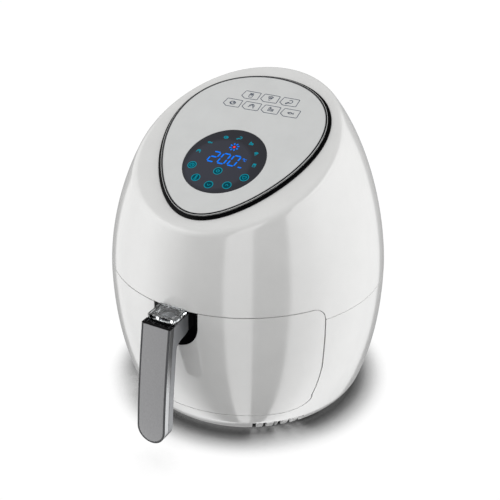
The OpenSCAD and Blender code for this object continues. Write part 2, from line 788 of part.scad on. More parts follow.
module handle_core() {
    color("#77797c") difference() {
        union() {
            grip_layer(grip_w / 2 - trim_w - 0.1, 1.2, grip_t, bar_top);
            grip_layer(grip_w / 2, trim_t + 0.4, grip_t - 2, bar_top);
            neck(grip_w / 2 - 1);
        }
        translate([-grip_w, cap_y[0] - 5, bar_top]) cube([2 * grip_w, cap_y[1] + 5 - cap_y[0], 5]);
        egg_solid(100, 160, 0.75);
        translate([0, button_y, pocket_z]) cylinder(h = 20, r = button_r + 0.3);
        translate([0, button_y, spring_z]) cylinder(h = 20, r = 5.6);
        translate([-lever_half - 0.4, -147.1, 138.2]) cube([2 * lever_half + 0.8, 20, 7]);
        for (s = [-1, 1]) translate([s * screw_x, -146, screw_z]) rotate([-90, 0, 0])
            cylinder(h = 30, r = hole_r);
        rail_grooves();
    }
}

// Grooves in the top of the handle that the guard's two rails run in
module rail_grooves() {
    for (s = [-1, 1]) translate([s * rail_x - 1.1, -171.6, grip_top - 2.6]) cube([2.2, 32, 5]);
}

module handle_cap() {
    color("#0f1014") difference() {
        translate([-grip_w / 2, cap_y[0], bar_top]) cube([grip_w, cap_y[1] - cap_y[0], cap_t]);
        rail_grooves();
    }
}

module handle_trim() {
    color("#c3c5c7") difference() {
        grip_layer(grip_w / 2, 0, trim_t, bar_top);
        grip_layer(grip_w / 2 - trim_w, -1, trim_t + 2, bar_top + 1);
    }
}

module handle_face() {
    color("#949494") grip_layer(grip_w / 2 - trim_w - 0.05, 0.1, 1.1, bar_top);
}

module handle_mount() {
    color("#1e202a") difference() {
        intersection() {
            egg_solid(100, 160, 0.8);
            mount_prism(0, -body_r - 10, -124);
            translate([-50, -160, 100]) cube([100, 60, drawer_top - 100.5]);
        }
        translate([-lever_half - 0.4, -150, 132]) cube([2 * lever_half + 0.8, 40, 17]);
        translate([-18, pivot_y, pivot_z]) rotate([0, 90, 0]) cylinder(h = 36, r = pin_r);
        for (s = [-1, 1]) translate([s * screw_x, -160, screw_z]) rotate([-90, 0, 0])
            cylinder(h = 60, r = hole_r);
    }
}

module handle_screws() {
    color("silver") for (s = [-1, 1]) translate([s * screw_x, -124, screw_z])
        rotate([-90, 0, 0]) screw(3.6, 1.6, screw_r, 21);
}

module latch_pin() {
    color("silver") translate([-8, pivot_y, pivot_z]) rotate([0, 90, 0]) cylinder(h = 16, r = pin_r - 0.01);
}

module latch_lever() {
    color("#55575c") difference() {
        rotate([90, 0, 90]) translate([0, 0, -lever_half]) linear_extrude(2 * lever_half)
            polygon([[-146.5, lever_z[0]], [-146.5, lever_z[1]], [-114.5, lever_z[1]], [-114.5, 136],
                [-116.5, 136], [-118, 138], [-118, lever_z[0]], [pivot_y + 3, lever_z[0] - 1.6],
                [pivot_y - 3, lever_z[0] - 1.6], [pivot_y - 6, lever_z[0]]]);
        translate([-10, pivot_y, pivot_z]) rotate([0, 90, 0]) cylinder(h = 20, r = pin_r + 0.05);
    }
}

module latch_catch() {
    color("silver") {
        translate([-5, -122.5, 134]) cube([10, 3.6, 5.4]);
        translate([-5, -122.5, 132.6]) cube([10, 122.5 + bracket_y - 4, 1.5]);
    }
}

module button_spring() {
    turns = 4;
    steps = 48;
    h = button_z - spring_z - 1;
    color("silver") tube([for (i = [0 : steps]) let (a = 360 * turns * i / steps)
        [4.4 * cos(a), button_y + 4.4 * sin(a), spring_z + 0.5 + h * i / steps]], 0.4, 6);
}

module release_button() {
    dome = 24;
    color("#8e9093") {
        intersection() {
            translate([0, button_y, button_z]) cylinder(h = button_top - button_z, r = button_r);
            translate([0, button_y, button_top - dome]) sphere(r = dome);
        }
        translate([0, -145.3, lever_z[1] + 0.2]) cylinder(h = button_z - lever_z[1], r = 1.1);
    }
}

guard_y = [-165, -143.6];
guard_z = [grip_top + 0.25, grip_top + 4.7];
rail_l = 10;
module button_guard() {
    hw = grip_w / 2 - 1.2;
    color([0.85, 0.9, 0.95, 0.5]) difference() {
        union() {
            translate([-hw, guard_y[0], guard_z[0]])
                cube([2 * hw, guard_y[1] - guard_y[0], guard_z[1] - guard_z[0]]);
            for (s = [-1, 1]) translate([s * rail_x - 0.8, guard_y[1] - rail_l, grip_top - 2.2])
                cube([1.6, rail_l, 2.6]);
        }
        translate([0, button_y, guard_z[0] - 1]) cylinder(h = 2.8, r = button_r + 0.6);
        translate([-hw + 1.6, guard_y[0] + 1.6, guard_z[1] - 0.8])
            cube([2 * hw - 3.2, guard_y[1] - guard_y[0] - 3.2, 2]);
    }
}

// ---------- nodes ----------

translate([0, shift_y, 0]) {
    lower_housing();
    upper_housing();
    base_plate();
    feet();
    foot_screws();
    base_screws();
    mid_frame();
    aperture_frame();
    rear_grille();
    cord_gland();
    terminal_block();
    cooking_chamber();
    drawer_guides();
    fan_dome();
    exhaust_duct();
    heater_element();
    heater_brackets();
    temperature_sensor();
    thermal_fuse();
    interlock_switch();
    deck_posts();
    motor_deck();
    deck_screws();
    fan_motor();
    motor_screws();
    power_board();
    board_bracket();
    wiring_loom();
    bezel_ring();
    control_fascia();
    display_lens();
    display_bracket();
    display_board();
    fan_shaft();
    convection_fan();
    cooling_fan();
    fan_nut();
    drawer_front();
    drawer_bracket();
    pan();
    pan_screws();
    basket();
    basket_bumpers();
    latch_catch();
    handle_mount();
    handle_core();
    handle_trim();
    handle_face();
    handle_cap();
    handle_screws();
    latch_pin();
    button_spring();
    release_button();
    latch_lever();
    button_guard();
}
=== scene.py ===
"""Egg-shaped hot-air fryer: shells, panel, handle, pan, basket and studio round the CAD frame.

Lengths are in millimetres about the body's vertical axis, with the front at -Y. new_mesh() turns
them into metres in the row frame. Directions are angles round the axis from the front, in radians.
"""

import contextlib
import json
import math

import bmesh
import bpy
import numpy as np
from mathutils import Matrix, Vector


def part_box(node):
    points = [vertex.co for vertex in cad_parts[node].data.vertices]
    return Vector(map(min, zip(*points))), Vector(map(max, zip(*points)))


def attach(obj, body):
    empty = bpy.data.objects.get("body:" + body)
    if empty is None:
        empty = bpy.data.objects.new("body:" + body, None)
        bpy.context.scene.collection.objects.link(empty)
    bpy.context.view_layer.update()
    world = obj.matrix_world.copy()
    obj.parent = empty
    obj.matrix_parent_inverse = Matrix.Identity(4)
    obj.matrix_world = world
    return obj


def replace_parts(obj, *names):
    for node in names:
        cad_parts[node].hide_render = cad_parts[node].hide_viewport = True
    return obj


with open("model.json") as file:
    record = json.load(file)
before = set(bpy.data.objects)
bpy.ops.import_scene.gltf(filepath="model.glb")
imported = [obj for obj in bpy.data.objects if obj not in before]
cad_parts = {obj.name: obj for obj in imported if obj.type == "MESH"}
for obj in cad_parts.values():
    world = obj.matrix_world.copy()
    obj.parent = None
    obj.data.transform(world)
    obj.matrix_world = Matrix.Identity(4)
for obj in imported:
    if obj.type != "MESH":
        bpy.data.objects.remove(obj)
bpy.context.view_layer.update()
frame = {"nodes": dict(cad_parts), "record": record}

MM = 0.001


def axis_of(node):
    """The foot of the vertical axis through the middle of a CAD node, in metres."""
    low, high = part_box(node)
    return Vector(((low[0] + high[0]) / 2, (low[1] + high[1]) / 2, 0.0))


AXIS = axis_of("fan_shaft")


def box_mm(node):
    """A CAD node's low and high corners in millimetres about the body's axis."""
    low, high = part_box(node)
    return [(Vector(c) - AXIS) / MM for c in (low, high)]


# ---- sizes

LOWER_BOX, DRAWER_BOX, LENS_BOX = (box_mm(n) for n in ("lower_housing", "drawer_front",
                                                       "display_lens"))
FOOT_H, SEAM_Z, BODY_R = LOWER_BOX[0].z, LOWER_BOX[1].z, LOWER_BOX[1].x
SEAM_GAP = 0.7
HALF_GAP = SEAM_GAP / 2
DRAWER_BOTTOM, DRAWER_TOP = DRAWER_BOX[0].z - HALF_GAP, DRAWER_BOX[1].z + HALF_GAP
WALL, SHELL_EDGE = 2.8, 0.35

# the egg's side curve, the rounding at its foot, and how its upper half leans back
WIDEST_Z = 135.0
EGG_UP, EGG_UP_POWER = 218.5, 1.8
EGG_DOWN, EGG_DOWN_POWER = 229.0, 2.2
FILLET_Z, FILLET_IN, FILLET_POWER = 22.0, 6.3, 2.2
LEAN_Z, LEAN_BACK, LEAN_SPAN = 153.0, 7.0, 117.0

# the slanted panel, its egg-shaped outline and the ring round it
TILT = math.radians(25.4)
DISPLAY_R = 41.7
LENS_TO_PANEL = 1.22
DISPLAY_AT = (LENS_BOX[0] + LENS_BOX[1]) / 2
DISPLAY_AT = DISPLAY_AT + Vector((0, -math.sin(TILT), math.cos(TILT))) * LENS_TO_PANEL
PANEL_HALF_W, PANEL_HALF_L, PANEL_EGG, PANEL_MID = 78.8, 95.1, 0.25, 25.6
PANEL_T = 2.5
BEZEL_W = 5.0
RIM_DROP, RIM_ROUND, RIM_PLANE = 4.5, 6.0, -2.66
OPENING = BEZEL_W + 0.3
OUTLINE_STEPS = 240

# the drawer front's outline: side direction, upper corners, rounded foot and the sides' taper
SIDE_ANGLE = math.radians(60)
CORNER_X, CORNER_Z = 7.5, 14.0
SIDE_FOOT_X, SIDE_FOOT_Z = 88.0, 48.0
TAPER, TAPER_Z, TAPER_SPAN, TAPER_POWER = math.radians(3), 85, 39, 1.5
MOUNT_HALF, MOUNT_Z = 24.0, 137.0
MOUNT_GAP = 0.25


def egg_r(z):
    """Radius of the egg-shaped body at height z."""
    z = np.asarray(z, float)
    up = np.clip((z - WIDEST_Z) / EGG_UP, 0, None) ** EGG_UP_POWER
    down = np.clip((WIDEST_Z - z) / EGG_DOWN, 0, None) ** EGG_DOWN_POWER
    fillet = FILLET_IN * np.clip((FILLET_Z - z) / (FILLET_Z - FOOT_H), 0, None) ** FILLET_POWER
    return BODY_R * np.sqrt(np.clip(1 - up - down, 0, None)) - fillet


def egg_c(z):
    """How far back the section at height z lies."""
    return LEAN_BACK * (np.clip(np.asarray(z, float) - LEAN_Z, 0, None) / LEAN_SPAN) ** 2


def egg_point(a, z):
    """Point of the body in direction a at height z."""
    r = egg_r(z)
    return np.stack([r * np.sin(a), egg_c(z) - r * np.cos(a), np.broadcast_to(z, np.shape(r))], -1)


def from_panel(u, v, n=0.0):
    """Panel coordinates: u to the right, v up the slope, n off the panel."""
    u, v, n = np.broadcast_arrays(np.asarray(u, float), v, n)
    x = DISPLAY_AT.x + u
    y = DISPLAY_AT.y + v * math.cos(TILT) - n * math.sin(TILT)
    z = DISPLAY_AT.z + v * math.sin(TILT) + n * math.cos(TILT)
    return np.stack([x, y, z], -1)


def panel_outline(a, d=0.0):
    """The egg-shaped outline of the panel at angle a from its upper end, moved out by d."""
    def point(t):
        return np.stack([PANEL_HALF_W * np.sin(t) * (1 + PANEL_EGG * np.cos(t)),
                         PANEL_MID + PANEL_HALF_L * np.cos(t)], -1)
    step = 0.01
    t = point(a + step) - point(a - step)
    t /= np.linalg.norm(t, axis=-1, keepdims=True)
    return point(a) + d * np.stack([-t[..., 1], t[..., 0]], -1)


def drawer_side(z):
    """Half the drawer front's width at height z, on its straight stretch."""
    lean = TAPER * (np.clip(TAPER_Z - np.asarray(z, float), 0, None) / TAPER_SPAN) ** TAPER_POWER
    return egg_r(z) * np.sin(SIDE_ANGLE - lean)


def drawer_half(z, gap):
    """Half width of the drawer front's outline at height z, grown all round by gap."""
    z = np.asarray(z, float)
    low, high = DRAWER_BOTTOM - gap, DRAWER_TOP + gap
    width = drawer_side(np.clip(z, SIDE_FOOT_Z, None)) + gap
    foot = np.clip((SIDE_FOOT_Z - z) / (SIDE_FOOT_Z - low), 0, 1)
    foot_width = drawer_side(SIDE_FOOT_Z) + gap
    width = np.where(z < SIDE_FOOT_Z,
                     SIDE_FOOT_X + (foot_width - SIDE_FOOT_X) * np.sqrt(1 - foot ** 2), width)
    corner_z = DRAWER_TOP - CORNER_Z
    top = np.clip((z - corner_z) / (high - corner_z), 0, 1)
    corner_width = drawer_side(corner_z) + gap
    return np.where(z > corner_z,
                    corner_width - (CORNER_X + gap) * (1 - np.sqrt(1 - top ** 2)), width)


# ---- meshes

WELD, NEAR = 2e-5, 1e-6     # metres: points this close become one


def new_object(name, data):
    """An object in the scene."""
    thing = bpy.data.objects.new(name, data)
    bpy.context.scene.collection.objects.link(thing)
    return thing


def new_mesh(name, points, faces, body, slot, mat=None, smooth=True):
    """A piece from points in millimetres about the axis, in its slot's material or another."""
    mesh = bpy.data.meshes.new(name)
    points = np.asarray(points, float) * MM + np.array(AXIS)
    mesh.from_pydata([tuple(p) for p in points], [], [tuple(int(i) for i in f) for f in faces])
    mesh.validate()
    mesh.update()
    piece = new_object(name, mesh)
    mesh.materials.append(mat or SLOT_MATERIAL[slot])
    if smooth:
        mesh.polygons.foreach_set("use_smooth", [True] * len(mesh.polygons))
    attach(piece, body)
    return piece


@contextlib.contextmanager
def editing(piece):
    """Opens a piece's mesh for editing and writes it back."""
    bm = bmesh.new()
    bm.from_mesh(piece.data)
    yield bm
    bm.to_mesh(piece.data)
    bm.free()


def outward(piece):
    """Makes the faces of a closed piece look outwards."""
    with editing(piece) as bm:
        bmesh.ops.remove_doubles(bm, verts=bm.verts, dist=NEAR)
        bmesh.ops.recalc_face_normals(bm, faces=bm.faces)
    return piece


def modifier(piece, kind, **settings):
    """Adds a modifier with its settings."""
    change = piece.modifiers.new(kind.lower(), kind)
    for key, value in settings.items():
        setattr(change, key, value)


def even_normals(piece, weight=60):
    """Keeps the broad faces of a piece smooth."""
    modifier(piece, "WEIGHTED_NORMAL", weight=weight)


def bevel(piece, width, segments=3, angle=50, weld=False):
    """Rounds a piece's edges that are sharper than angle, in degrees."""
    if weld:
        modifier(piece, "WELD", merge_threshold=1e-5)
    modifier(piece, "BEVEL", width=width * MM, segments=segments, limit_method="ANGLE",
             angle_limit=math.radians(angle))
    even_normals(piece)


def thicken(piece, thickness, offset=-1.0, even=True):
    """Gives a sheet its thickness, inwards where offset is -1."""
    modifier(piece, "SOLIDIFY", thickness=thickness * MM, offset=offset, use_even_offset=even)


def finish_shell(piece, node, weld=True):
    """Gives a body shell its wall and edges, and puts it in the place of a CAD node."""
    if weld:
        with editing(piece) as bm:
            bmesh.ops.remove_doubles(bm, verts=bm.verts, dist=WELD)
    thicken(piece, WALL)
    bevel(piece, SHELL_EDGE)
    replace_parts(piece, node)


def grid_faces(rows, cols, closed_cols=False, start=0, keep=None):
    """Quads of a grid of points stored row by row; keep(i, j) can leave some out."""
    faces = []
    for i in range(rows - 1):
        for j in range(cols if closed_cols else cols - 1):
            if keep and not keep(i, j):
                continue
            k = (j + 1) % cols
            faces.append((start + i * cols + j, start + i * cols + k,
                          start + (i + 1) * cols + k, start + (i + 1) * cols + j))
    return faces


def sweep(sections, closed=True):
    """Points and faces of closed sections joined one to the next."""
    n, m = len(sections), len(sections[0])
    faces = []
    for i in range(n if closed else n - 1):
        j = (i + 1) % n
        for k in range(m):
            q = (k + 1) % m
            faces.append((i * m + k, i * m + q, j * m + q, j * m + k))
    if not closed:
        faces.append(tuple(range(m - 1, -1, -1)))
        faces.append(tuple((n - 1) * m + k for k in range(m)))
    return np.concatenate(sections), faces


def round_box(hx, y0, y1, r, n):
    """Outline of a rectangle with round corners of n steps, anticlockwise."""
    out = []
    for cx, cy, a0 in ((hx - r, y0 + r, -90), (hx - r, y1 - r, 0), (r - hx, y1 - r, 90),
                       (r - hx, y0 + r, 180)):
        for a in np.radians(a0 + np.linspace(0, 90, n + 1)):
            out.append((cx + r * math.cos(a), cy + r * math.sin(a)))
    return np.array(out)


def slow_start(n):
    """n shares of the way from 0 to 1, close together at first."""
    return 1 - np.cos(np.linspace(0, math.pi / 2, n))


def spaced(marks, pitch):
    """Values from the first mark to the last, at most pitch apart, with every mark among them."""
    parts = [np.linspace(p, q, max(2, math.ceil((q - p) / pitch) + 1))[:-1]
             for p, q in zip(marks[:-1], marks[1:])]
    return np.concatenate(parts + [[marks[-1]]])


# ---- materials

def add(tree, kind, inputs=(), **settings):
    """A new shader node with its settings, then its inputs."""
    node = tree.nodes.new("ShaderNode" + kind)
    for key, value in settings.items():
        setattr(node, key, value)
    put(node, inputs)
    return node


def put(node, inputs):
    """Gives a node's inputs their values, or joins them to other nodes' outputs."""
    for key, value in dict(inputs).items():
        if isinstance(value, bpy.types.NodeSocket):
            node.id_data.links.new(value, node.inputs[key])
        else:
            node.inputs[key].default_value = value


def material(name):
    m = bpy.data.materials.new(name)
    m.use_nodes = True
    return m, m.node_tree, m.node_tree.nodes["Principled BSDF"]


def place(tree, kind="Object"):
    """Where a shaded point is, in object space or another."""
    return add(tree, "TexCoord").outputs[kind]


def noise(tree, scale, detail=3.0, rough=0.5, stretch=(1, 1, 1)):
    """Noise in object space, in cycles per metre, optionally stretched along an axis."""
    mapped = add(tree, "Mapping", {"Vector": place(tree), "Scale": stretch}).outputs["Vector"]
    return add(tree, "TexNoise", {"Vector": mapped, "Scale": scale, "Detail": detail,
                                  "Roughness": rough}).outputs["Fac"]


def colour_ramp(tree, source, stops):
    """Colours or greys over source, which runs from 0 to 1."""
    shade = add(tree, "ValToRGB", {"Fac": source})
    elements = shade.color_ramp.elements
    while len(elements) < len(stops):
        elements.new(0.5)
    for element, (at, value) in zip(elements, stops):
        element.position = at
        element.color = (value, value, value, 1) if isinstance(value, float) else (*value, 1)
    return shade.outputs["Color"]


def ramp(tree, source, low, high):
    """From low to high over the middle of a noise's range."""
    return colour_ramp(tree, source, ((0.3, low), (0.7, high)))


def graded(tree, source, stops, low=0.0, high=1.0):
    """A ramp over source, with stops given between low and high."""
    span = add(tree, "MapRange", {"Value": source, "From Min": low, "From Max": high})
    return colour_ramp(tree, span.outputs["Result"],
                       [((at - low) / (high - low), value) for at, value in stops])


def bump(tree, source, strength, depth=0.0002):
    """The normal of a relief, with its depth in metres."""
    return add(tree, "Bump", {"Height": source, "Strength": strength,
                              "Distance": depth}).outputs["Normal"]


def surface(name, low, high, rough, metallic=0.0, scale=60.0, relief=None, stretch=(1, 1, 1),
            relief_stretch=None, coat=(0.0, 0.05), ior=1.5):
    """A material whose colour and roughness wander a little. relief is the strength, the cycles
    per metre and maybe the depth of a fine relief; coat is a clear coat's weight and roughness."""
    m, tree, bsdf = material(name)
    tex = noise(tree, scale, 4.0, 0.55, stretch)
    put(bsdf, {"Base Color": ramp(tree, tex, low, high), "Roughness": ramp(tree, tex, *rough),
               "Metallic": metallic, "IOR": ior, "Coat Weight": coat[0],
               "Coat Roughness": coat[1]})
    if relief:
        strength, cycles, *depth = relief
        fine = noise(tree, cycles, stretch=relief_stretch or stretch)
        put(bsdf, {"Normal": bump(tree, fine, strength, *depth)})
    return m


def by_height(mat, stops):
    """Shades a material's colour by height above the worktop at rest, in metres."""
    tree = mat.node_tree
    base = next(n for n in tree.nodes if n.type == "BSDF_PRINCIPLED").inputs["Base Color"]
    height = add(tree, "SeparateXYZ", {"Vector": place(tree)}).outputs["Z"]
    shade = add(tree, "Mix", {"Factor": 1.0, "A": base.links[0].from_socket,
                              "B": graded(tree, height, stops, 0.0, SHADED_H)},
                data_type="RGBA", blend_type="MULTIPLY")
    tree.links.new(shade.outputs["Result"], base)
    return mat


def glowing(name, colour, strength):
    """A lit mark behind the lens, a little uneven."""
    m, tree, bsdf = material(name)
    lit = ramp(tree, noise(tree, 900.0, 2.0), tuple(0.75 * c for c in colour), colour)
    put(bsdf, {"Emission Color": lit, "Emission Strength": strength,
               "Base Color": (*[0.2 * c for c in colour], 1), "Roughness": 0.4,
               "Specular IOR Level": 0.0})
    return m


def clear_plastic(name):
    """Clear acrylic with faint moulding marks."""
    m, tree, bsdf = material(name)
    tex = noise(tree, 300.0)
    put(bsdf, {"Roughness": ramp(tree, tex, 0.02, 0.07), "Base Color": (0.95, 0.97, 0.98, 1),
               "Transmission Weight": 1.0, "IOR": 1.49, "Normal": bump(tree, tex, 0.05)})
    return m


def smoked_lens(name):
    """Smoked window: a slightly lighter disc where the display lies, with a darker border."""
    m, tree, bsdf = material(name)
    centre = np.array(AXIS) + MM * from_panel(-4.0, -6.0)
    away = add(tree, "VectorMath", {0: place(tree), 1: tuple(centre)}, operation="DISTANCE")
    stops = ((0.0, (0.026, 0.029, 0.046)), (0.0305, (0.024, 0.027, 0.043)),
             (0.0345, (0.010, 0.011, 0.020)), (0.05, (0.006, 0.007, 0.013)))
    tex = noise(tree, 60.0, 2.0)
    put(bsdf, {"Base Color": graded(tree, away.outputs["Value"], stops, 0.0, 0.05),
               "Roughness": ramp(tree, tex, 0.12, 0.18), "Normal": bump(tree, tex, 0.01)})
    return m


SHADED_H = 0.2
GRIP_TOP_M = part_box("handle_cap")[1][2]
GRIP_STOPS = ((0.0, 1.0), (GRIP_TOP_M - 0.0012, 1.0), (GRIP_TOP_M - 0.0008, 0.03), (SHADED_H, 0.03))
# painted light on the handle's chrome frame: full brightness low down as a painted highlight,
# darkening up its upper part
TRIM_PAINTED_LIGHT_STOPS = ((0.0, 1.0), (0.085, 0.9), (0.122, 0.30), (SHADED_H, 0.22))

# slot, material, colours, roughness, metallic, scale of the wandering, relief
SURFACES = (
    ("inner_plastic", "inner_moulding", (0.62, 0.62, 0.61), (0.68, 0.68, 0.67), (0.4, 0.55), 0.0,
     80, (0.15, 900)),
    ("panel_grey", "panel_satin_grey", (0.68, 0.69, 0.685), (0.71, 0.72, 0.715), (0.36, 0.44), 0.0,
     50, (0.06, 2500, 0.00005)),
    ("dark_plastic", "dark_moulding", (0.022, 0.022, 0.025), (0.035, 0.035, 0.038), (0.38, 0.55),
     0.0, 120, (0.25, 1800, 0.0001)),
    ("chrome_trim", "chrome_trim", (0.10, 0.104, 0.112), (0.13, 0.135, 0.145), (0.07, 0.13), 1.0,
     80),
    ("zinc_steel", "zinc_plated_steel", (0.46, 0.46, 0.44), (0.62, 0.62, 0.58), (0.25, 0.45), 1.0,
     500, (0.15, 1500)),
    ("nonstick", "nonstick_coating", (0.030, 0.031, 0.034), (0.052, 0.053, 0.057), (0.30, 0.45),
     0.2, 700, (0.3, 2600, 0.0001)),
    ("heater_sheath", "heater_sheath", (0.10, 0.085, 0.075), (0.22, 0.17, 0.14), (0.45, 0.65), 0.9,
     120, (0.2, 900)),
    ("fan_aluminium", "fan_aluminium", (0.55, 0.55, 0.56), (0.68, 0.68, 0.69), (0.28, 0.42), 1.0,
     300, (0.08, 900)),
    ("rubber", "rubber", (0.012, 0.012, 0.013), (0.025, 0.025, 0.026), (0.6, 0.8), 0.0, 300,
     (0.3, 2200)),
    ("silicone", "silicone", (0.38, 0.07, 0.02), (0.48, 0.10, 0.035), (0.45, 0.6), 0.0, 200,
     (0.1, 900)),
    ("circuit_board", "circuit_board", (0.015, 0.085, 0.03), (0.03, 0.15, 0.06), (0.3, 0.5), 0.0,
     600, (0.3, 1400)),
    ("ceramic", "ceramic", (0.62, 0.58, 0.47), (0.72, 0.69, 0.58), (0.35, 0.5), 0.0, 200,
     (0.1, 900)),
)
SLOT_MATERIAL = {slot: surface(*values) for slot, *values in SURFACES}
SLOT_MATERIAL.update({
    "white_shell": surface(
        "white_gloss_plastic", (0.80, 0.80, 0.79), (0.83, 0.83, 0.82), (0.10, 0.15), scale=35,
        relief=(0.02, 60, 0.0004), coat=(0.6, 0.03)),
    "black_gloss": surface(
        "black_gloss_plastic", (0.0004, 0.0004, 0.0006), (0.0015, 0.0015, 0.002), (0.10, 0.16),
        scale=70, relief=(0.02, 90), ior=1.12),
    "dark_lens": smoked_lens("smoked_lens"),
    "grip_plastic": by_height(surface(
        "grip_satin_plastic", (0.17, 0.175, 0.185), (0.20, 0.205, 0.215), (0.28, 0.36), 0.35, 90,
        (0.05, 1500, 0.00005)), GRIP_STOPS),
    "brushed_metal": surface(
        "brushed_metal", (0.175, 0.175, 0.178), (0.235, 0.235, 0.239), (0.30, 0.46), 1.0, 260,
        (0.12, 900, 0.00004), (14, 14, 0.35), (8, 8, 0.15)),
    "liner_steel": surface(
        "pressed_steel", (0.42, 0.42, 0.41), (0.55, 0.55, 0.54), (0.26, 0.42), 1.0, 45,
        (0.1, 500), (1, 1, 3)),
    "cable_sleeve": surface(
        "cable_sleeve", (0.02, 0.02, 0.023), (0.05, 0.05, 0.055), (0.5, 0.7), 0.0, 900,
        (0.5, 1500), (1, 1, 4)),
    "clear_plastic": clear_plastic("clear_guard_plastic"),
})
# dark grey: the handle frame's front lip, and on the black ring a painted highlight along its
# shoulder
DARK_EDGE_AND_PAINTED_HIGHLIGHT = surface("dark_edge_and_painted_highlight", (0.055, 0.056, 0.06), (0.085, 0.087, 0.092), (0.30, 0.42),
                      scale=90, relief=(0.05, 900), ior=1.3)
# the handle's chrome frame, painted brighter low down and darker higher up as painted light
TRIM = by_height(surface("handle_chrome_painted_light", (0.29, 0.295, 0.30), (0.34, 0.345, 0.35), (0.07, 0.13),
                         1.0, scale=80), TRIM_PAINTED_LIGHT_STOPS)
INK = surface("panel_print", (0.03, 0.045, 0.08), (0.045, 0.065, 0.11), (0.4, 0.5), scale=800)
BLUE = glowing("lit_digits", (0.002, 0.18, 0.88), 1.15)
TEAL = glowing("lit_symbols", (0.006, 0.25, 0.33), 1.0)
DIM_TEAL = glowing("lit_discs", (0.005, 0.07, 0.10), 0.7)
RED = glowing("lit_dot", (1.0, 0.03, 0.04), 1.5)

# moulded CAD nodes whose edges are rounded, and by how much
ROUNDED = {"feet": 0.6, "base_plate": 0.3, "rear_grille": 0.4, "cord_gland": 0.5,
           "handle_mount": 0.5, "handle_cap": 0.25, "drawer_bracket": 0.3, "aperture_frame": 0.4,
           "terminal_block": 0.4, "fan_motor": 0.5, "latch_lever": 0.2}


def dress_cad_nodes():
    """Gives every CAD node the material of its slot, and rounds the edges of the moulded ones."""
    slots = {s["node"]: s["material_slot"] for s in frame["record"]["subparts"]}
    for node, piece in frame["nodes"].items():
        piece.data.materials.clear()
        piece.data.materials.append(SLOT_MATERIAL[slots[node]])
        if node in ROUNDED:
            bevel(piece, ROUNDED[node], 2, 40, weld=True)


# ---- shells

SEAM_INSET = 0.15
CORNER_SPAN = 0.11


def slope_z(y, n):
    """Height of the panel's plane, moved off by n, at depth y."""
    return DISPLAY_AT.z + (y - DISPLAY_AT.y) * math.tan(TILT) + n / math.cos(TILT)


def edge_z(a, n):
    """Height at which the egg meets the panel's plane moved off by n, in direction a."""
    z = np.full(np.shape(a), 280.0)
    for _ in range(40):
        z = slope_z(egg_c(z) - egg_r(z) * np.cos(a), n)
    return z


def lower_edge(a):
    """Lower edge of the upper housing: the seam, stepping up over the drawer front."""
    x = np.abs(np.sin(a)) * BODY_R
    corner = drawer_side(DRAWER_TOP - CORNER_Z) - CORNER_X
    t = np.clip((x - corner) / (CORNER_X + HALF_GAP), 0, 1)
    over = DRAWER_TOP - CORNER_Z + (CORNER_Z + HALF_GAP) * np.sqrt(1 - t * t)
    seam = SEAM_Z + SEAM_INSET
    return np.where((np.cos(a) > 0) & (t < 1), np.maximum(over, seam), seam)


def bezier(a, b, c, t):
    return (1 - t) ** 2 * a + 2 * t * (1 - t) * b + t * t * c


def upper_housing():
    """Rows run from the seam up the egg, round its rim and in to the ring; columns crowd at the
    drawer front's upper corners."""
    step = math.asin((drawer_side(DRAWER_TOP - CORNER_Z) + HALF_GAP) / BODY_R)
    corner_part = step - CORNER_SPAN * np.cos(np.linspace(0, math.pi / 2, 14))[1:]
    half = np.concatenate([np.linspace(0, step - CORNER_SPAN, 40), corner_part,
                           np.linspace(step, math.pi, 90)[1:]])
    angles = np.concatenate([half, -half[-2:0:-1]])
    outline = panel_outline(math.pi - angles, -OPENING)
    inner = from_panel(outline[:, 0], outline[:, 1], -RIM_DROP)
    ze = edge_z(angles, RIM_PLANE)
    corner = egg_point(angles, ze)
    reach = np.linalg.norm(inner - corner, axis=1)
    turn = np.minimum(RIM_ROUND, 0.8 * reach)
    below_z = ze - turn * 0.9
    below = egg_point(angles, below_z)
    over = corner + (turn / reach)[:, None] * (inner - corner)
    z0 = lower_edge(angles)
    rows = [egg_point(angles, z0 + (below_z - z0) * t) for t in np.linspace(0, 1, 44)[:-1]]
    rows += [bezier(below, corner, over, t) for t in np.linspace(0, 1, 15)]
    rows += [over + (inner - over) * t for t in (0.35, 0.7, 1.0)]
    piece = new_mesh("upper_housing_shell", np.concatenate(rows),
                     grid_faces(len(rows), len(angles), True), "housing", "white_shell")
    finish_shell(piece, "upper_housing", weld=False)


VENT_ANGLES = np.radians([32, 37, 42, 47, 52, 57])
VENT_HALF, VENT_TOP = 2.0, 18.0
LOW_ROWS = (4.6, 5.6, 7, 9, 11.5, 14, VENT_TOP, 20, 24, 28)
SIDE_PITCH, STRIP_PITCH = 0.014, 0.03
GRILLE = box_mm("rear_grille")


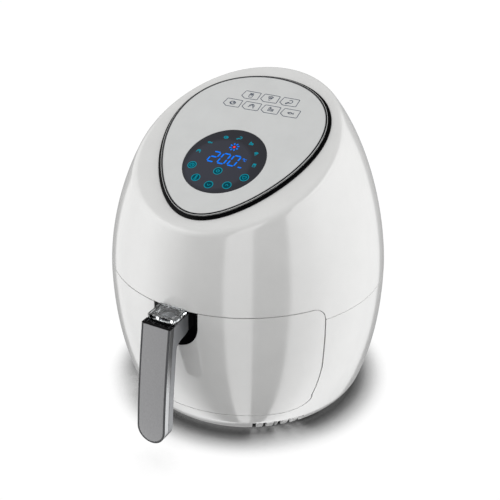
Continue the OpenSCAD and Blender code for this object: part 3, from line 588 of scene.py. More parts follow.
def lower_housing():
    """Side columns run round the back from one edge of the drawer opening to the other; below the
    opening a front strip closes the ring. The vents and the grille are left open."""
    sill = DRAWER_BOTTOM - HALF_GAP
    a_sill = math.asin(SIDE_FOOT_X / float(egg_r(sill)))
    low_rows = np.array([FOOT_H, *LOW_ROWS, sill])
    rows = np.concatenate([low_rows,
                           (sill + (SIDE_FOOT_Z - sill) * slow_start(16))[1:],
                           np.linspace(SIDE_FOOT_Z, GRILLE[0].z, 12)[1:],
                           np.linspace(GRILLE[0].z, GRILLE[1].z, 12)[1:],
                           np.linspace(GRILLE[1].z, SEAM_Z - SEAM_INSET, 4)[1:]])
    edge = np.where(rows <= sill, a_sill,
                    np.arcsin(np.clip(drawer_half(rows, HALF_GAP) / egg_r(rows), 0, 1)))
    vent_half = VENT_HALF / float(egg_r(FOOT_H))
    vents = [a + s * vent_half for a in VENT_ANGLES for s in (-1, 1)]
    front_vents = [v for v in vents if v < a_sill]

    # columns are placed by their share of the way from the opening's edge to the middle of the back
    share = [(v - a_sill) / (math.pi - a_sill) for v in vents if v > a_sill]
    grille_a = math.asin(GRILLE[1].x / float(egg_r((GRILLE[0].z + GRILLE[1].z) / 2)))
    grille_share = (math.pi - grille_a - SIDE_ANGLE) / (math.pi - SIDE_ANGLE)
    half = spaced(sorted([0, 1, grille_share, *share]), SIDE_PITCH)
    right = [e + (math.pi - e) * half for e in edge]
    grid = [np.concatenate([a, 2 * math.pi - a[-2::-1]]) for a in right]
    cols = len(grid[0])
    back = half >= grille_share - 1e-9
    back = back[:-1] & back[1:]
    in_grille = np.concatenate([back, back[::-1]])
    in_vent = set()
    for a, b in zip(share[0::2], share[1::2]):
        inside = [j for j in range(len(half) - 1)
                  if a - 1e-9 <= half[j] and half[j + 1] <= b + 1e-9]
        in_vent |= set(inside) | {cols - 2 - j for j in inside}

    def on_side(i, j):
        z = (rows[i] + rows[i + 1]) / 2
        return not (z < VENT_TOP and j in in_vent or GRILLE[0].z < z < GRILLE[1].z and in_grille[j])

    strip = spaced(sorted([-a_sill, a_sill, *front_vents, *[-v for v in front_vents]]), STRIP_PITCH)

    def on_strip(i, j):
        mid = abs((strip[j] + strip[j + 1]) / 2)
        vent = any(abs(mid - a) < vent_half for a in VENT_ANGLES)
        return not (vent and (low_rows[i] + low_rows[i + 1]) / 2 < VENT_TOP)

    sides = np.concatenate([egg_point(a, np.full(len(a), z)) for a, z in zip(grid, rows)])
    front = np.concatenate([egg_point(strip, np.full(len(strip), z)) for z in low_rows])
    faces = grid_faces(len(rows), cols, keep=on_side)
    faces += grid_faces(len(low_rows), len(strip), start=len(sides), keep=on_strip)
    piece = new_mesh("lower_housing_shell", np.concatenate([sides, front]), faces,
                     "housing", "white_shell")
    finish_shell(piece, "lower_housing")


def drawer_front():
    """The curved front of the drawer, with the U-shaped cut for the handle's root left open."""
    low, high = DRAWER_BOTTOM + HALF_GAP, DRAWER_TOP - HALF_GAP
    cut_half, cut_low = MOUNT_HALF + MOUNT_GAP, MOUNT_Z - MOUNT_HALF - MOUNT_GAP
    corner = high - CORNER_Z + 0.5
    rows = np.concatenate([low + (SIDE_FOOT_Z - low) * slow_start(18),
                           np.linspace(SIDE_FOOT_Z, cut_low, 18)[1:],
                           (cut_low + (MOUNT_Z - cut_low) * slow_start(18))[1:],
                           np.linspace(MOUNT_Z, corner, 3)[1:],
                           corner + (CORNER_Z - 0.5) * np.sin(np.linspace(0, math.pi / 2, 16))[1:]])
    half = drawer_half(rows, -HALF_GAP)
    t = np.clip((MOUNT_Z - rows) / (MOUNT_Z - cut_low), 0, 1)
    cut = np.where(rows < cut_low, 0.0, cut_half * np.sqrt(np.clip(1 - t * t, 0, 1)))
    cols = 45
    points, faces = [], []
    for side in (-1, 1):
        quads = grid_faces(len(rows), cols, start=cols * len(points))
        faces += quads if side > 0 else [q[::-1] for q in quads]
        for z, h, c in zip(rows, half, cut):
            x = c + (h - c) * np.linspace(0, 1, cols)
            y = -np.sqrt(egg_r(z) ** 2 - x ** 2)
            points.append(np.stack([side * x, y, np.full(cols, z)], -1))
    piece = new_mesh("drawer_front_shell", np.concatenate(points), faces, "drawer", "white_shell")
    finish_shell(piece, "drawer_front")


# ---- panel

# the ring's cross-section: how far in from the panel's outline, and how far off the panel
RING_PROFILE = ((0.2, -2.4), (0.2, 0.2), (0.35, 0.36), (0.6, 0.4), (1.1, 0.38), (1.6, 0.2),
                (2.0, -0.15), (2.3, -0.6), (4.5, -3.5), (4.8, -4.0), (4.95, -4.5), (5.0, -5.2),
                (5.0, -8.6), (4.8, -9.0), (-3.3, -9.0), (-3.5, -8.8), (-3.5, -2.8), (-3.3, -2.62),
                (0.0, -2.6))
# a thin grey band over the ring's shoulder: a painted highlight on the black ring
PAINTED_HIGHLIGHT_PROFILE = ((1.15, 0.2), (1.2, 0.41), (1.7, 0.27), (2.35, -0.5), (2.2, -0.75))


def ring_piece(name, profile, mat=None):
    """A closed moulding that follows the panel's outline."""
    angles = np.linspace(0, 2 * math.pi, OUTLINE_STEPS, endpoint=False)
    outlines = [(panel_outline(angles, -d), n) for d, n in profile]
    sections = [np.array([from_panel(o[i, 0], o[i, 1], n) for o, n in outlines])
                for i in range(OUTLINE_STEPS)]
    return outward(new_mesh(name, *sweep(sections), "housing", "black_gloss", mat))


def bezel_ring():
    """The black ring, and a grey line round its shoulder that is a painted highlight."""
    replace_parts(ring_piece("bezel_ring_moulding", RING_PROFILE), "bezel_ring")
    ring_piece("bezel_ring_painted_highlight", PAINTED_HIGHLIGHT_PROFILE, DARK_EDGE_AND_PAINTED_HIGHLIGHT)


def panel_disc(name, node, outline, n_top, slot, hole=None, edge=0.25):
    """A flat plate in the panel's plane, with a softly rounded upper edge. outline and hole give
    their points, the same number of them, moved out by a distance."""
    rings = [(outline(-edge), n_top), (outline(-edge * 0.3), n_top - edge * 0.3),
             (outline(0), n_top - edge), (outline(0), -PANEL_T)]
    if hole:
        rings += [(hole(0), -PANEL_T), (hole(0), n_top - edge), (hole(edge), n_top)]
    sections = [from_panel(o[:, 0], o[:, 1], n) for o, n in rings]
    piece = outward(new_mesh(name, *sweep(sections, closed=bool(hole)), "housing", slot))
    even_normals(piece, 80)
    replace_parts(piece, node)


def circle(r, n):
    """A circle of n points, as panel_disc() takes its outlines."""
    a = np.linspace(0, 2 * math.pi, n, endpoint=False)
    return lambda d: (r + d) * np.stack([np.sin(a), np.cos(a)], -1)


def control_panel():
    a = np.linspace(0, 2 * math.pi, OUTLINE_STEPS, endpoint=False)
    panel_disc("control_fascia_plate", "control_fascia", lambda d: panel_outline(a, -d), 0.0,
               "panel_grey", hole=circle(DISPLAY_R + 0.1, OUTLINE_STEPS))
    panel_disc("display_lens_disc", "display_lens", circle(DISPLAY_R, 160), 0.05, "dark_lens")


# ---- symbols

# how thick the marks are, and how far off the panel ink, discs and lit marks begin
INK_T = 0.05
PRINT_N, DISC_N, LIT_N = 0.005, 0.03, 0.06


def drawn(name, solids, mat, slot):
    """One piece of ink or light from solids given as points and faces."""
    points, faces = [], []
    for solid_points, solid_faces in solids:
        faces += [tuple(len(points) + i for i in f) for f in solid_faces]
        points += list(solid_points)
    outward(new_mesh(name, points, faces, "housing", slot, mat, smooth=False))


def flat_strokes(name, strokes, mat, width, slot="dark_lens", base_n=LIT_N):
    """Lines: each stroke is a list of (u, v) points, closed if its last meets its first."""
    solids = []
    for stroke in strokes:
        pts = np.asarray(stroke, float)
        closed = np.linalg.norm(pts[0] - pts[-1]) < 1e-6
        if closed:
            pts = pts[:-1]
        before = np.roll(pts, 1, 0) if closed else np.vstack([2 * pts[0] - pts[1], pts[:-1]])
        after = np.roll(pts, -1, 0) if closed else np.vstack([pts[1:], 2 * pts[-1] - pts[-2]])
        t = after - before
        t /= np.linalg.norm(t, axis=1, keepdims=True) + 1e-12
        sides = np.stack([-t[:, 1], t[:, 0]], -1) * width / 2
        top = base_n + INK_T
        sections = [np.array([from_panel(*q, n) for q, n in ((p + s, top), (p - s, top),
                                                             (p - s, base_n), (p + s, base_n))])
                    for p, s in zip(pts, sides)]
        solids.append(sweep(sections, closed))
    drawn(name, solids, mat, slot)


def flat_shapes(name, shapes, mat, base_n=LIT_N):
    """Filled outlines on the display."""
    drawn(name, [sweep([from_panel(*np.transpose(s), n) for n in (base_n + INK_T, base_n)], False)
                 for s in shapes], mat, "dark_lens")


def arc(cx, cy, r, a0=0, a1=360, n=14, squash=1.0):
    """Points round a centre from angle a0 to a1, in degrees."""
    return [(cx + r * math.cos(math.radians(a)), cy + squash * r * math.sin(math.radians(a)))
            for a in np.linspace(a0, a1, n)]


def placed(kind, u, v, size):
    """The strokes of a symbol, scaled and moved to its place."""
    return [[(u + size * x, v + size * y) for x, y in s] for s in GLYPHS[kind]]


# generic symbols about 10 units across, as strokes
GLYPHS = {
    "fries": [[(-3, 1), (-2.2, -4), (2.2, -4), (3, 1), (0, 0), (-3, 1)],
              *([(x, 0.8), (x * 1.15, 4.2)] for x in (-2, -0.7, 0.7, 2))],
    "cake": [[(-4, -2.5), (4, -2.5), (4, 0.5), (-4, 2.5), (-4, -2.5)], [(-4, 0), (4, -1)],
             arc(-2, 3.2, 0.9)],
    "drumstick": [arc(1.4, 0.8, 2.8, -150, 150, 18), [(-1, -0.6), (-3.6, -2.6)],
                  [(-0.2, -1.6), (-3, -3.4)], arc(-3.7, -3.3, 0.9, 60, 330)],
    "steak": [arc(0, 0, 4.2, n=22, squash=0.7), arc(1.4, 0.6, 1.2, n=12),
              arc(-0.8, -0.3, 2.0, 150, 300, 10)],
    "fish": [arc(-0.6, -3.0, 4.4, 38, 142, 16), arc(-0.6, 3.0, 4.4, -142, -38, 16),
             [(2.9, 0), (4.6, 1.9), (4.6, -1.9), (2.9, 0)], arc(-2.4, 0.5, 0.4, n=8)],
    "prawn": [arc(0, 0, 3.6, -40, 210, 18), arc(0, 0, 1.9, -30, 200),
              [(2.7, -2.4), (4.2, -3.6)], [(-3.2, -1.8), (-4.6, -2.4)], [(0, 1.9), (0, 3.6)]],
    "pizza": [[(0, -4), (-3.6, 2.4), (3.6, 2.4), (0, -4)], arc(0, 0.3, 4.2, 30, 150, 12),
              arc(-0.9, 0.7, 0.7, n=9), arc(1.2, 0.9, 0.6, n=9)],
    "clock": [arc(0, 0, 3.0, n=20), [(0, 1.9), (0, 0), (1.5, -0.6)]],
    "heat": [arc(0, -2.4, 1.4, -240, 60), [(-0.7, -1.2), (-0.7, 3.2)],
             [(0.7, -1.2), (0.7, 3.2)], arc(0, 3.2, 0.7, 0, 180, 8)],
    "up": [[(-2.2, -1), (0, 1.6), (2.2, -1)]],
    "down": [[(-2.2, 1), (0, -1.6), (2.2, 1)]],
    "fan": [arc(1.3 * math.cos(a), 1.3 * math.sin(a), 1.5, math.degrees(a) - 100,
                math.degrees(a) + 80, 10) for a in (0.5, 2.6, 4.7)],
    "power": [arc(0, 0, 2.2, 120, 420, 18), [(0, 0.6), (0, 3.0)]],
}

FRAME_CORNERS = ((-8.0, 5.2), (9.2, 5.2), (8.9, -4.9), (-5.3, -5.4), (-9.9, -2.3))
# the panel's rows of symbols: height up the panel, shift to the right, and what they show
ROWS = ((90.0, 6.5, ("fries", "pizza", "drumstick")),
        (75.6, 3.2, ("steak", "prawn", "cake", "fish")))
ICON_PITCH, ICON_SIZE = 21.7, 0.74
FRAME_LINE, LINE = 0.7, 0.8


def symbol_frame(u, v):
    """A five-cornered tag with slightly rounded corners, as one closed stroke."""
    count = len(FRAME_CORNERS)
    out = []
    for i, c in enumerate(FRAME_CORNERS):
        p, q = FRAME_CORNERS[i - 1], FRAME_CORNERS[(i + 1) % count]
        for other, t in ((p, 0.12), (p, 0.04), (q, 0.04), (q, 0.12)):
            out.append((u + c[0] + (other[0] - c[0]) * t, v + c[1] + (other[1] - c[1]) * t))
    return out + [out[0]]


def panel_print():
    """Two rows of framed food symbols, three above four."""
    frames, marks = [], []
    for v, shift, kinds in ROWS:
        for i, kind in enumerate(kinds):
            u = (i - (len(kinds) - 1) / 2) * ICON_PITCH + shift
            frames.append(symbol_frame(u, v))
            marks += placed(kind, u, v, ICON_SIZE)
    flat_strokes("panel_symbol_frames", frames, INK, FRAME_LINE, "panel_grey", PRINT_N)
    flat_strokes("panel_symbols", marks, INK, LINE, "panel_grey", PRINT_N)


SEGMENTS = {"0": "abcdef", "2": "abged"}
DIGIT_W, DIGIT_H, SEGMENT_W, SLANT = 7.4, 13.2, 1.5, 0.16
DIGIT_PITCH, DIGITS_AT = 11.2, (-1.4, 2.2)
SEGMENT_GAP = 0.5
SUN = (1.5, 19.0)
DASH = ((2.8, -0.55), (5.0, -0.75), (5.0, 0.75), (2.8, 0.55))
UNIT_BAR = ((17.1, -5.1), (20.9, -5.1), (20.9, -3.7), (17.1, -3.7))
TOUCH = ((-28.9, -13.3, "clock"), (-17.1, -27.2, "heat"), (-0.2, -32.2, "down"),
         (17.6, -28.1, "up"), (29.6, -14.8, "fan"), (0.3, -13.9, "power"))
FOODS = ((-31.4, 5.1, "prawn"), (-25.8, 18.6, "fish"), (-12.8, 29.0, "steak"),
         (1.2, 31.5, "drumstick"), (16.3, 27.3, "cake"), (26.8, 15.8, "pizza"),
         (31.8, 2.0, "fries"))
TOUCH_R, TOUCH_SIZE, FOOD_SIZE = 4.2, 0.72, 0.52


def digit(character, u0, v0):
    """The lit segments of one digit as filled outlines."""
    w, h, t = DIGIT_W / 2, DIGIT_H / 2, SEGMENT_W / 2
    ends = {"a": ((-w, h), (w, h)), "b": ((w, h), (w, 0)), "c": ((w, 0), (w, -h)),
            "d": ((-w, -h), (w, -h)), "e": ((-w, 0), (-w, -h)), "f": ((-w, h), (-w, 0)),
            "g": ((-w, 0), (w, 0))}
    out = []
    for s in SEGMENTS[character]:
        p, q = (np.array(e, float) for e in ends[s])
        d = (q - p) / np.linalg.norm(q - p)
        n = np.array([-d[1], d[0]])
        p, q = p + d * SEGMENT_GAP, q - d * SEGMENT_GAP
        outline = [p, p + (d + n) * t, q + (n - d) * t, q, q - (d + n) * t, p + (d - n) * t]
        out.append([(u0 + x + SLANT * y, v0 + y) for x, y in outline])
    return out


def display_symbols():
    """The number, the marks round it, and the ring of touch symbols and food symbols."""
    shapes = []
    for i, character in enumerate("200"):
        shapes += digit(character, (i - 1) * DIGIT_PITCH + DIGITS_AT[0], DIGITS_AT[1])
    flat_shapes("display_digits", shapes, BLUE)
    marks = []
    for k in range(8):
        a = math.radians(22.5 + 45 * k)
        d, e = np.array([math.cos(a), math.sin(a)]), np.array([-math.sin(a), math.cos(a)])
        marks.append([tuple(np.array(SUN) + d * r + e * s) for r, s in DASH])
    flat_shapes("display_blue_marks", marks + [UNIT_BAR], BLUE)
    flat_strokes("display_degree", [arc(18.2, 6.6, 0.8, n=12), arc(20.6, 5.2, 1.3, 50, 310, 12)],
                 BLUE, 0.5)
    flat_shapes("display_red_dot", [arc(*SUN, 1.15, 0, 342, 20)], RED)
    flat_shapes("display_touch_discs", [arc(u, v, TOUCH_R - 0.2, 0, 348, 28) for u, v, _ in TOUCH],
                DIM_TEAL, DISC_N)
    flat_strokes("display_touch_rings", [arc(u, v, TOUCH_R, n=28) for u, v, _ in TOUCH], TEAL,
                 LINE)
    symbols = [s for u, v, kind in TOUCH for s in placed(kind, u, v, TOUCH_SIZE)]
    symbols += [s for u, v, kind in FOODS for s in placed(kind, u, v, FOOD_SIZE)]
    flat_strokes("display_symbols", symbols, TEAL, LINE)


# ---- handle

CAP_T = 1.2
GRIP_TOP = box_mm("handle_cap")[1].z
BAR_TOP = GRIP_TOP - CAP_T
GRIP_TIP = 29.0
GRIP_LEAN, LEAN_POWER = 18.5, 1.35
TRIM_BOX = box_mm("handle_trim")
REACH, GRIP_W = -TRIM_BOX[0].y, TRIM_BOX[1].x * 2
TRIM_W, TRIM_T, TRIM_EDGE = 2.0, 6.8, 1.0
FACE_DEPTH, FACE_GAP = (0.1, 1.1), 0.05
BAR_ARC, BAR_ROWS, BAR_COLS = 15, 33, 9


def grip_front(z):
    """How far forward the bar's front lies at height z."""
    t = np.clip((GRIP_TOP - np.asarray(z, float)) / (GRIP_TOP - GRIP_TIP), 0, 1)
    return -REACH + GRIP_LEAN * (1 - t) ** LEAN_POWER


def bar_plate(x_all, z_all, depths):
    """Points and faces of a plate that fills the bar's outline."""
    points = []
    for depth in depths:
        for x, z in zip(x_all, z_all):
            points.append(np.stack([np.linspace(-x, x, BAR_COLS),
                                    np.full(BAR_COLS, grip_front(z) + depth),
                                    np.full(BAR_COLS, z)], -1))
    rows, cols = len(z_all), BAR_COLS
    back = rows * cols
    faces = grid_faces(rows, cols) + [f[::-1] for f in grid_faces(rows, cols, start=back)]
    rim = [i * cols for i in range(rows)]
    rim += [(rows - 1) * cols + j for j in range(1, cols)]
    rim += [i * cols + cols - 1 for i in range(rows - 2, -1, -1)]
    rim += list(range(cols - 2, 0, -1))
    faces += [(p, q, q + back, p + back) for p, q in zip(rim, rim[1:] + rim[:1])]
    return np.concatenate(points), faces


def bar_layer(name, hw, depths, slot, edge, mat=None, frame_w=None):
    """A layer of the bar: half width hw, between two depths behind the curved front, with a round
    lower end. frame_w leaves only a frame of that width round it, open at the top."""
    tip = GRIP_TIP + GRIP_W / 2 - hw
    arc_angles = np.linspace(-math.pi / 2, 0, BAR_ARC)
    z_all = np.concatenate([tip + hw + hw * np.sin(arc_angles),
                            np.linspace(tip + hw, BAR_TOP, BAR_ROWS + 1)[1:]])
    x_all = np.concatenate([hw * np.cos(arc_angles), np.full(BAR_ROWS, hw)])
    if frame_w:
        turn = np.concatenate([arc_angles, np.zeros(BAR_ROWS)])
        in_arc, inner = z_all < tip + hw, hw - frame_w
        x_in = np.where(in_arc, inner * np.cos(turn), inner)
        z_in = np.where(in_arc, tip + hw + inner * np.sin(turn), z_all)
        path = list(zip(x_all, z_all, x_in, z_in))
        d0, d1 = depths
        sections = [np.array([(side * x, grip_front(z) + d0, z), (side * x, grip_front(z) + d1, z),
                              (side * u, grip_front(w) + d1, w), (side * u, grip_front(w) + d0, w)])
                    for side, part in ((1, path[::-1]), (-1, path[1:])) for x, z, u, w in part]
        shape = sweep(sections, closed=False)
    else:
        shape = bar_plate(x_all, z_all, depths)
    piece = outward(new_mesh(name, *shape, "drawer", slot, mat))
    bevel(piece, edge, angle=40)
    return piece


def handle():
    """The bar's brushed face in its frame, on a dark edge line; the core keeps its CAD mesh."""
    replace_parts(bar_layer("handle_face_plate", GRIP_W / 2 - TRIM_W - FACE_GAP, FACE_DEPTH,
                          "brushed_metal", 0.35), "handle_face")
    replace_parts(bar_layer("handle_trim_frame", GRIP_W / 2, (TRIM_EDGE, TRIM_T), "chrome_trim", 0.3,
                          TRIM, TRIM_W), "handle_trim")
    bar_layer("handle_trim_edge", GRIP_W / 2, (0.0, TRIM_EDGE - FACE_GAP), "chrome_trim", 0.4,
              DARK_EDGE_AND_PAINTED_HIGHLIGHT, TRIM_W)
    bevel(frame["nodes"]["handle_core"], 0.6, angle=40, weld=True)


# ---- basket and pan

SHEET = 0.8
PAN, BASKET = box_mm("pan"), box_mm("basket")
PAN_X, PAN_Y, PAN_CORNER = 98.0, (-102.0, 98.0), 50.0
PAN_LIP = ((3.0, -2.2), (3.0, -0.9), (2.5, -0.2), (1.6, 0.0), (0.6, -0.3), (0.0, -1.2))
PAN_DRAFT, PAN_FOOT_IN, PAN_FOOT_H = 1.6, 12, 12.8


def pan():
    """Deep-drawn pan: rolled rim, slight draft, rounded floor edge."""
    z0, z1 = PAN[0].z, PAN[1].z
    wall_top = z1 - 1.2
    wall_h = z1 - z0 - 14
    profile = [(d, z1 + dz) for d, dz in PAN_LIP]
    profile += [(-PAN_DRAFT * t, wall_top - wall_h * t) for t in np.linspace(0.1, 1, 7)]
    profile += [(-PAN_DRAFT - PAN_FOOT_IN * (1 - math.cos(a)),
                 z0 + PAN_FOOT_H - PAN_FOOT_H * math.sin(a))
                for a in np.linspace(0.15, math.pi / 2, 8)]
    loops = []
    for d, z in profile:
        loop = round_box(PAN_X + d, PAN_Y[0] - d * (d < 0), PAN_Y[1] + d, PAN_CORNER + d, 14)
        loops.append(np.column_stack([loop, np.full(len(loop), z)]))
    m = len(loops[0])
    faces = grid_faces(len(loops), m, True) + [tuple((len(loops) - 1) * m + i for i in range(m))]
    piece = outward(new_mesh("pan_tub", np.concatenate(loops), faces, "drawer", "nonstick"))
    thicken(piece, SHEET, 1.0, False)
    bevel(piece, 0.2, 2)
    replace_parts(piece, "pan")


def cell(u0, v0, du, dv, hole, n_side):
    """Points round a cell's border and round its hole or upright slot, in matching order. hole is
    half the hole's width and height; its ends are round."""
    border = []
    for k in range(4 * n_side):
        side, t = divmod(k, n_side)
        t = t / n_side
        a, b = ((t, 0), (1, t), (1 - t, 1), (0, 1 - t))[side]
        border.append((u0 + du * a, v0 + dv * b))
    cu, cv = u0 + du / 2, v0 + dv / 2
    w, h = hole
    inner = []
    for bu, bv in border:
        a = math.atan2((bv - cv) / dv, (bu - cu) / du)
        up = 0 if abs(math.sin(a)) < NEAR else math.copysign(max(0.0, h - w), math.sin(a))
        inner.append((cu + w * math.cos(a), cv + w * math.sin(a) + up))
    return border, inner


BASKET_RIM, BASKET_CORNER, BASKET_FOOT = 2.5, 46.0, 7.0
BASKET_LIP = ((0.0, -1.2), (0.3, -0.3), (1.2, 0.0), (2.2, -0.3), (2.5, -1.2), (2.5, -2.0))
COLUMNS, BANDS, PLAIN_TOP = 64, 4, 12.0
SLOT, HOLE = (2.0, 7.6), (3.1, 3.1)
PITCH, CELLS = 10.5, 14
# how far from a corner's centre a floor cell may reach, and what counts as a hole's edge
FLOOR_CORNER, LARGEST_HOLE = 37.5, 3.4


def basket():
    """Perforated basket: slotted wall, holed floor, rolled rim."""
    hx = BASKET[1].x - BASKET_RIM
    z0, z1 = BASKET[0].z, BASKET[1].z
    outline = round_box(hx, -hx, hx, BASKET_CORNER, 16)
    closed = np.vstack([outline, outline[:1]])
    steps = np.linalg.norm(np.diff(closed, axis=0), axis=1)
    lengths = np.concatenate([[0], np.cumsum(steps)])
    total = lengths[-1]
    points, faces = [], []

    def around(s, z, d=0.0):
        """The wall's point at length s round it and height z, moved out by d."""
        s = s % total
        i = min(np.searchsorted(lengths, s, "right") - 1, len(outline) - 1)
        t = (s - lengths[i]) / (lengths[i + 1] - lengths[i])
        p = closed[i] * (1 - t) + closed[i + 1] * t
        e = closed[i + 1] - closed[i]
        e = e / np.linalg.norm(e)
        return (p[0] + d * e[1], p[1] - d * e[0], z)

    def patch(border, inner, mapping):
        """A cell's sheet between its border and its hole."""
        start = len(points)
        m = len(border)
        points.extend(mapping(*b) for b in (*border, *inner))
        for i in range(m):
            j = (i + 1) % m
            faces.append((start + i, start + j, start + m + j, start + m + i))

    def strip(s0, s1, profile):
        """Plain sheet between two lengths round the wall, along a profile of (out, height)."""
        for (d0, za), (d1, zb) in zip(profile[:-1], profile[1:]):
            start = len(points)
            points.extend([around(s0, za, d0), around(s1, za, d0),
                           around(s1, zb, d1), around(s0, zb, d1)])
            faces.append((start, start + 1, start + 2, start + 3))

    low, high = z0 + BASKET_FOOT, z1 - PLAIN_TOP
    du, dv = total / COLUMNS, (high - low) / BANDS
    lip = [(d, z1 + dz) for d, dz in BASKET_LIP]
    plain = [(0.0, high), lip[0]]
    foot = [(0.0, low)] + [(-BASKET_FOOT * (1 - math.cos(t)), low - BASKET_FOOT * math.sin(t))
                           for t in np.linspace(0.26, math.pi / 2, 6)]
    for c in range(COLUMNS):
        for b in range(BANDS):
            patch(*cell(c * du, low + b * dv, du, dv, SLOT, 3), around)
        for profiles in ((plain,), (foot, lip)):
            for k in range(3):
                for profile in profiles:
                    strip(c * du + du * k / 3, c * du + du * (k + 1) / 3, profile)

    half = PITCH * CELLS / 2
    flat = hx - BASKET_CORNER
    for i in range(CELLS):
        for j in range(CELLS):
            u0, v0 = -half + i * PITCH, -half + j * PITCH
            past_u = max(abs(u0), abs(u0 + PITCH)) - flat
            past_v = max(abs(v0), abs(v0 + PITCH)) - flat
            if min(past_u, past_v) > 0 and math.hypot(past_u, past_v) > FLOOR_CORNER:
                continue
            patch(*cell(u0, v0, PITCH, PITCH, HOLE, 4), lambda u, v: (u, v, z0))

    piece = new_mesh("basket_tub", points, faces, "drawer", "nonstick")
    with editing(piece) as bm:
        bmesh.ops.remove_doubles(bm, verts=bm.verts, dist=WELD)
        # the plain border of the floor lies between the block of cells and the wall's lower edge
        z_floor = z0 * MM + AXIS.z
        border = []
        for e in bm.edges:
            if not e.is_boundary or any(abs(v.co.z - z_floor) >= NEAR for v in e.verts):
                continue
            mid = (e.verts[0].co + e.verts[1].co) / 2
            u, v = (mid.x - AXIS.x) / MM, (mid.y - AXIS.y) / MM
            cu, cv = ((math.floor((p + half) / PITCH) + 0.5) * PITCH - half for p in (u, v))
            if math.hypot(u - cu, v - cv) > LARGEST_HOLE:
                border.append(e)
        bmesh.ops.triangle_fill(bm, use_beauty=True, use_dissolve=False, edges=border,
                                normal=(0, 0, 1))
        bmesh.ops.recalc_face_normals(bm, faces=bm.faces)
        for f in bm.faces:
            f.smooth = True
    thicken(piece, SHEET, 0.0, False)
    even_normals(piece)
    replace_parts(piece, "basket")


# ---- studio

# What polished surfaces reflect, by azimuth from the front towards the right, in degrees
REFLECTED = ((-180, 0.38), (-116, 0.38), (-111, 1.15), (-90, 1.5), (-75, 2.2), (-62, 2.8),
             (-50, 2.7), (-42, 2.3), (-29, 1.4), (-20, 0.6), (-12, 0.34), (8, 0.32), (11, 2.4),
             (31, 2.4), (34, 0.32), (60, 0.32), (64, 2.6), (83, 3.1), (97, 3.5), (114, 3.1),
             (133, 2.4), (148, 1.75), (167, 1.15), (172, 0.38), (180, 0.38))
# where the ceiling takes over from the softboxes, by the ray's upward part
CEILING = ((0.0, 0.0), (0.72, 0.0), (0.86, 1.0), (1.0, 1.0))
CEILING_GREY = (0.55, 0.55, 0.55, 1)
ROOM = ((0.0, 0.84), (1.0, 0.68))
# the floor's glow by how open it is to the room, a painted shadow where it is closed in, and how far
# away a shape still shades it
FLOOR_SHADE = ((0.0, 0.008), (0.30, 0.03), (0.40, 0.08), (0.52, 0.17), (0.58, 0.37), (0.67, 0.51),
               (0.80, 0.82), (0.92, 1.0), (1.0, 1.02))
SHADE_REACH = 0.040
FLOOR_HALF, BOUNCE_Z = 30.0, -0.0005
# softboxes, in metres from the axis and above the floor, and what they are turned to
BOX_AWAY, BOX_UP, BOX_AIM, BOX_SIZE = 1.3, 0.75, 0.15, (0.9, 1.2)


def softbox(name, azimuth, power):
    """A lamp at an azimuth in degrees, 0 in front and 90 to the right of someone facing it."""
    data = bpy.data.lights.new(name, "AREA")
    data.shape = "RECTANGLE"
    data.size, data.size_y = BOX_SIZE
    data.energy = power
    lamp = new_object(name, data)
    a = math.radians(azimuth)
    lamp.location = (AXIS.x + BOX_AWAY * math.sin(a), AXIS.y - BOX_AWAY * math.cos(a), BOX_UP)
    aim = Vector((AXIS.x, AXIS.y, BOX_AIM)) - lamp.location
    lamp.rotation_euler = aim.to_track_quat("-Z", "Y").to_euler()
    lamp.visible_camera = False
    lamp.visible_glossy = False


def sky(scene):
    """Soft room light, with tall softboxes that only polished surfaces show."""
    world = bpy.data.worlds.new("studio")
    world.use_nodes = True
    tree = world.node_tree
    ray = add(tree, "SeparateXYZ", {"Vector": place(tree, "Generated")}).outputs
    front = add(tree, "Math", {0: ray["Y"], 1: -1.0}, operation="MULTIPLY").outputs["Value"]
    azimuth = add(tree, "Math", {0: ray["X"], 1: front}, operation="ARCTAN2").outputs["Value"]
    degrees = add(tree, "Math", {0: azimuth}, operation="DEGREES").outputs["Value"]
    reflected = add(tree, "Mix", {"Factor": graded(tree, ray["Z"], CEILING),
                                  "A": graded(tree, degrees, REFLECTED, -180.0, 180.0),
                                  "B": CEILING_GREY}, data_type="RGBA").outputs["Result"]
    glossy = add(tree, "LightPath").outputs["Is Glossy Ray"]
    final = add(tree, "Mix", {"Factor": glossy, "A": graded(tree, ray["Z"], ROOM),
                              "B": reflected}, data_type="RGBA").outputs["Result"]
    put(tree.nodes["Background"], {"Color": final, "Strength": 1.0})
    scene.world = world


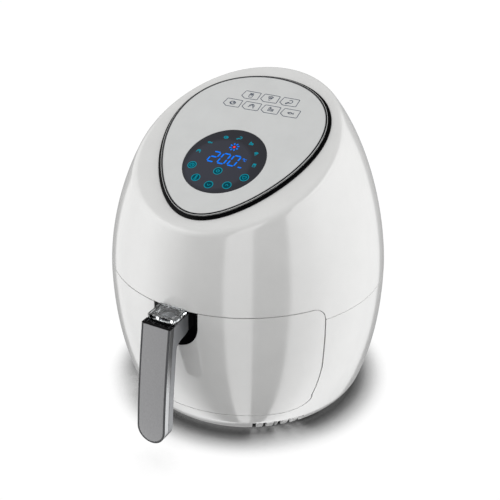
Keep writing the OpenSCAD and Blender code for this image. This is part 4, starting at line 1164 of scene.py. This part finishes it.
def plane(name, half, z, mat):
    """A square of the studio floor."""
    mesh = bpy.data.meshes.new(name)
    corners = [(-half, -half, z), (half, -half, z), (half, half, z), (-half, half, z)]
    mesh.from_pydata(corners, [], [(0, 1, 2, 3)])
    mesh.materials.append(mat)
    ground = new_object(name, mesh)
    return ground


def painted_shadow_floor(name):
    """White paper that glows, with a painted shadow under and close round the fryer."""
    m, tree, bsdf = material(name)
    # painted shadow: occlusion dims the floor's glow near the fryer
    near = add(tree, "AmbientOcclusion", {"Distance": SHADE_REACH}, samples=16).outputs["AO"]
    put(bsdf, {"Emission Color": graded(tree, near, FLOOR_SHADE), "Emission Strength": 1.0,
               "Base Color": (0, 0, 0, 1), "Specular IOR Level": 0.0})
    return m


def studio():
    """The paper floor that the camera sees, the grey one that lights the fryer from below, the
    room and two softboxes."""
    scene = bpy.context.scene
    scene.view_settings.view_transform = "Standard"
    scene.view_settings.look = "None"
    sky(scene)
    floor = plane("floor", FLOOR_HALF, 0.0, painted_shadow_floor("painted_shadow_floor"))
    floor.visible_glossy = False
    floor.visible_diffuse = False
    grey = surface("bounce_floor", (0.48, 0.48, 0.48), (0.50, 0.50, 0.50), (0.9, 0.95), scale=2)
    bounce = plane("floor_bounce", FLOOR_HALF, BOUNCE_Z, grey)
    for rays in ("camera", "glossy", "shadow", "transmission"):
        setattr(bounce, "visible_" + rays, False)
    softbox("right_softbox", 130, 5.1)
    softbox("left_softbox", -72, 4.2)


def camera():
    """The photograph's point of view, fitted to the body's outline."""
    azimuth, elevation, distance = math.radians(28.94), math.radians(28.08), 0.9841
    aim = Vector((0.00178, AXIS.y + 0.00098, 0.1485))
    data = bpy.data.cameras.new("camera")
    data.sensor_width, data.lens = 36.0, 67.04
    cam = new_object("camera", data)
    back = Vector((math.sin(azimuth) * math.cos(elevation),
                   -math.cos(azimuth) * math.cos(elevation), math.sin(elevation)))
    cam.location = aim + back * distance
    cam.rotation_euler = (-back).to_track_quat("-Z", "Y").to_euler()
    bpy.context.scene.camera = cam


dress_cad_nodes()
upper_housing()
lower_housing()
drawer_front()
bezel_ring()
control_panel()
panel_print()
display_symbols()
handle()
pan()
basket()
studio()
camera()
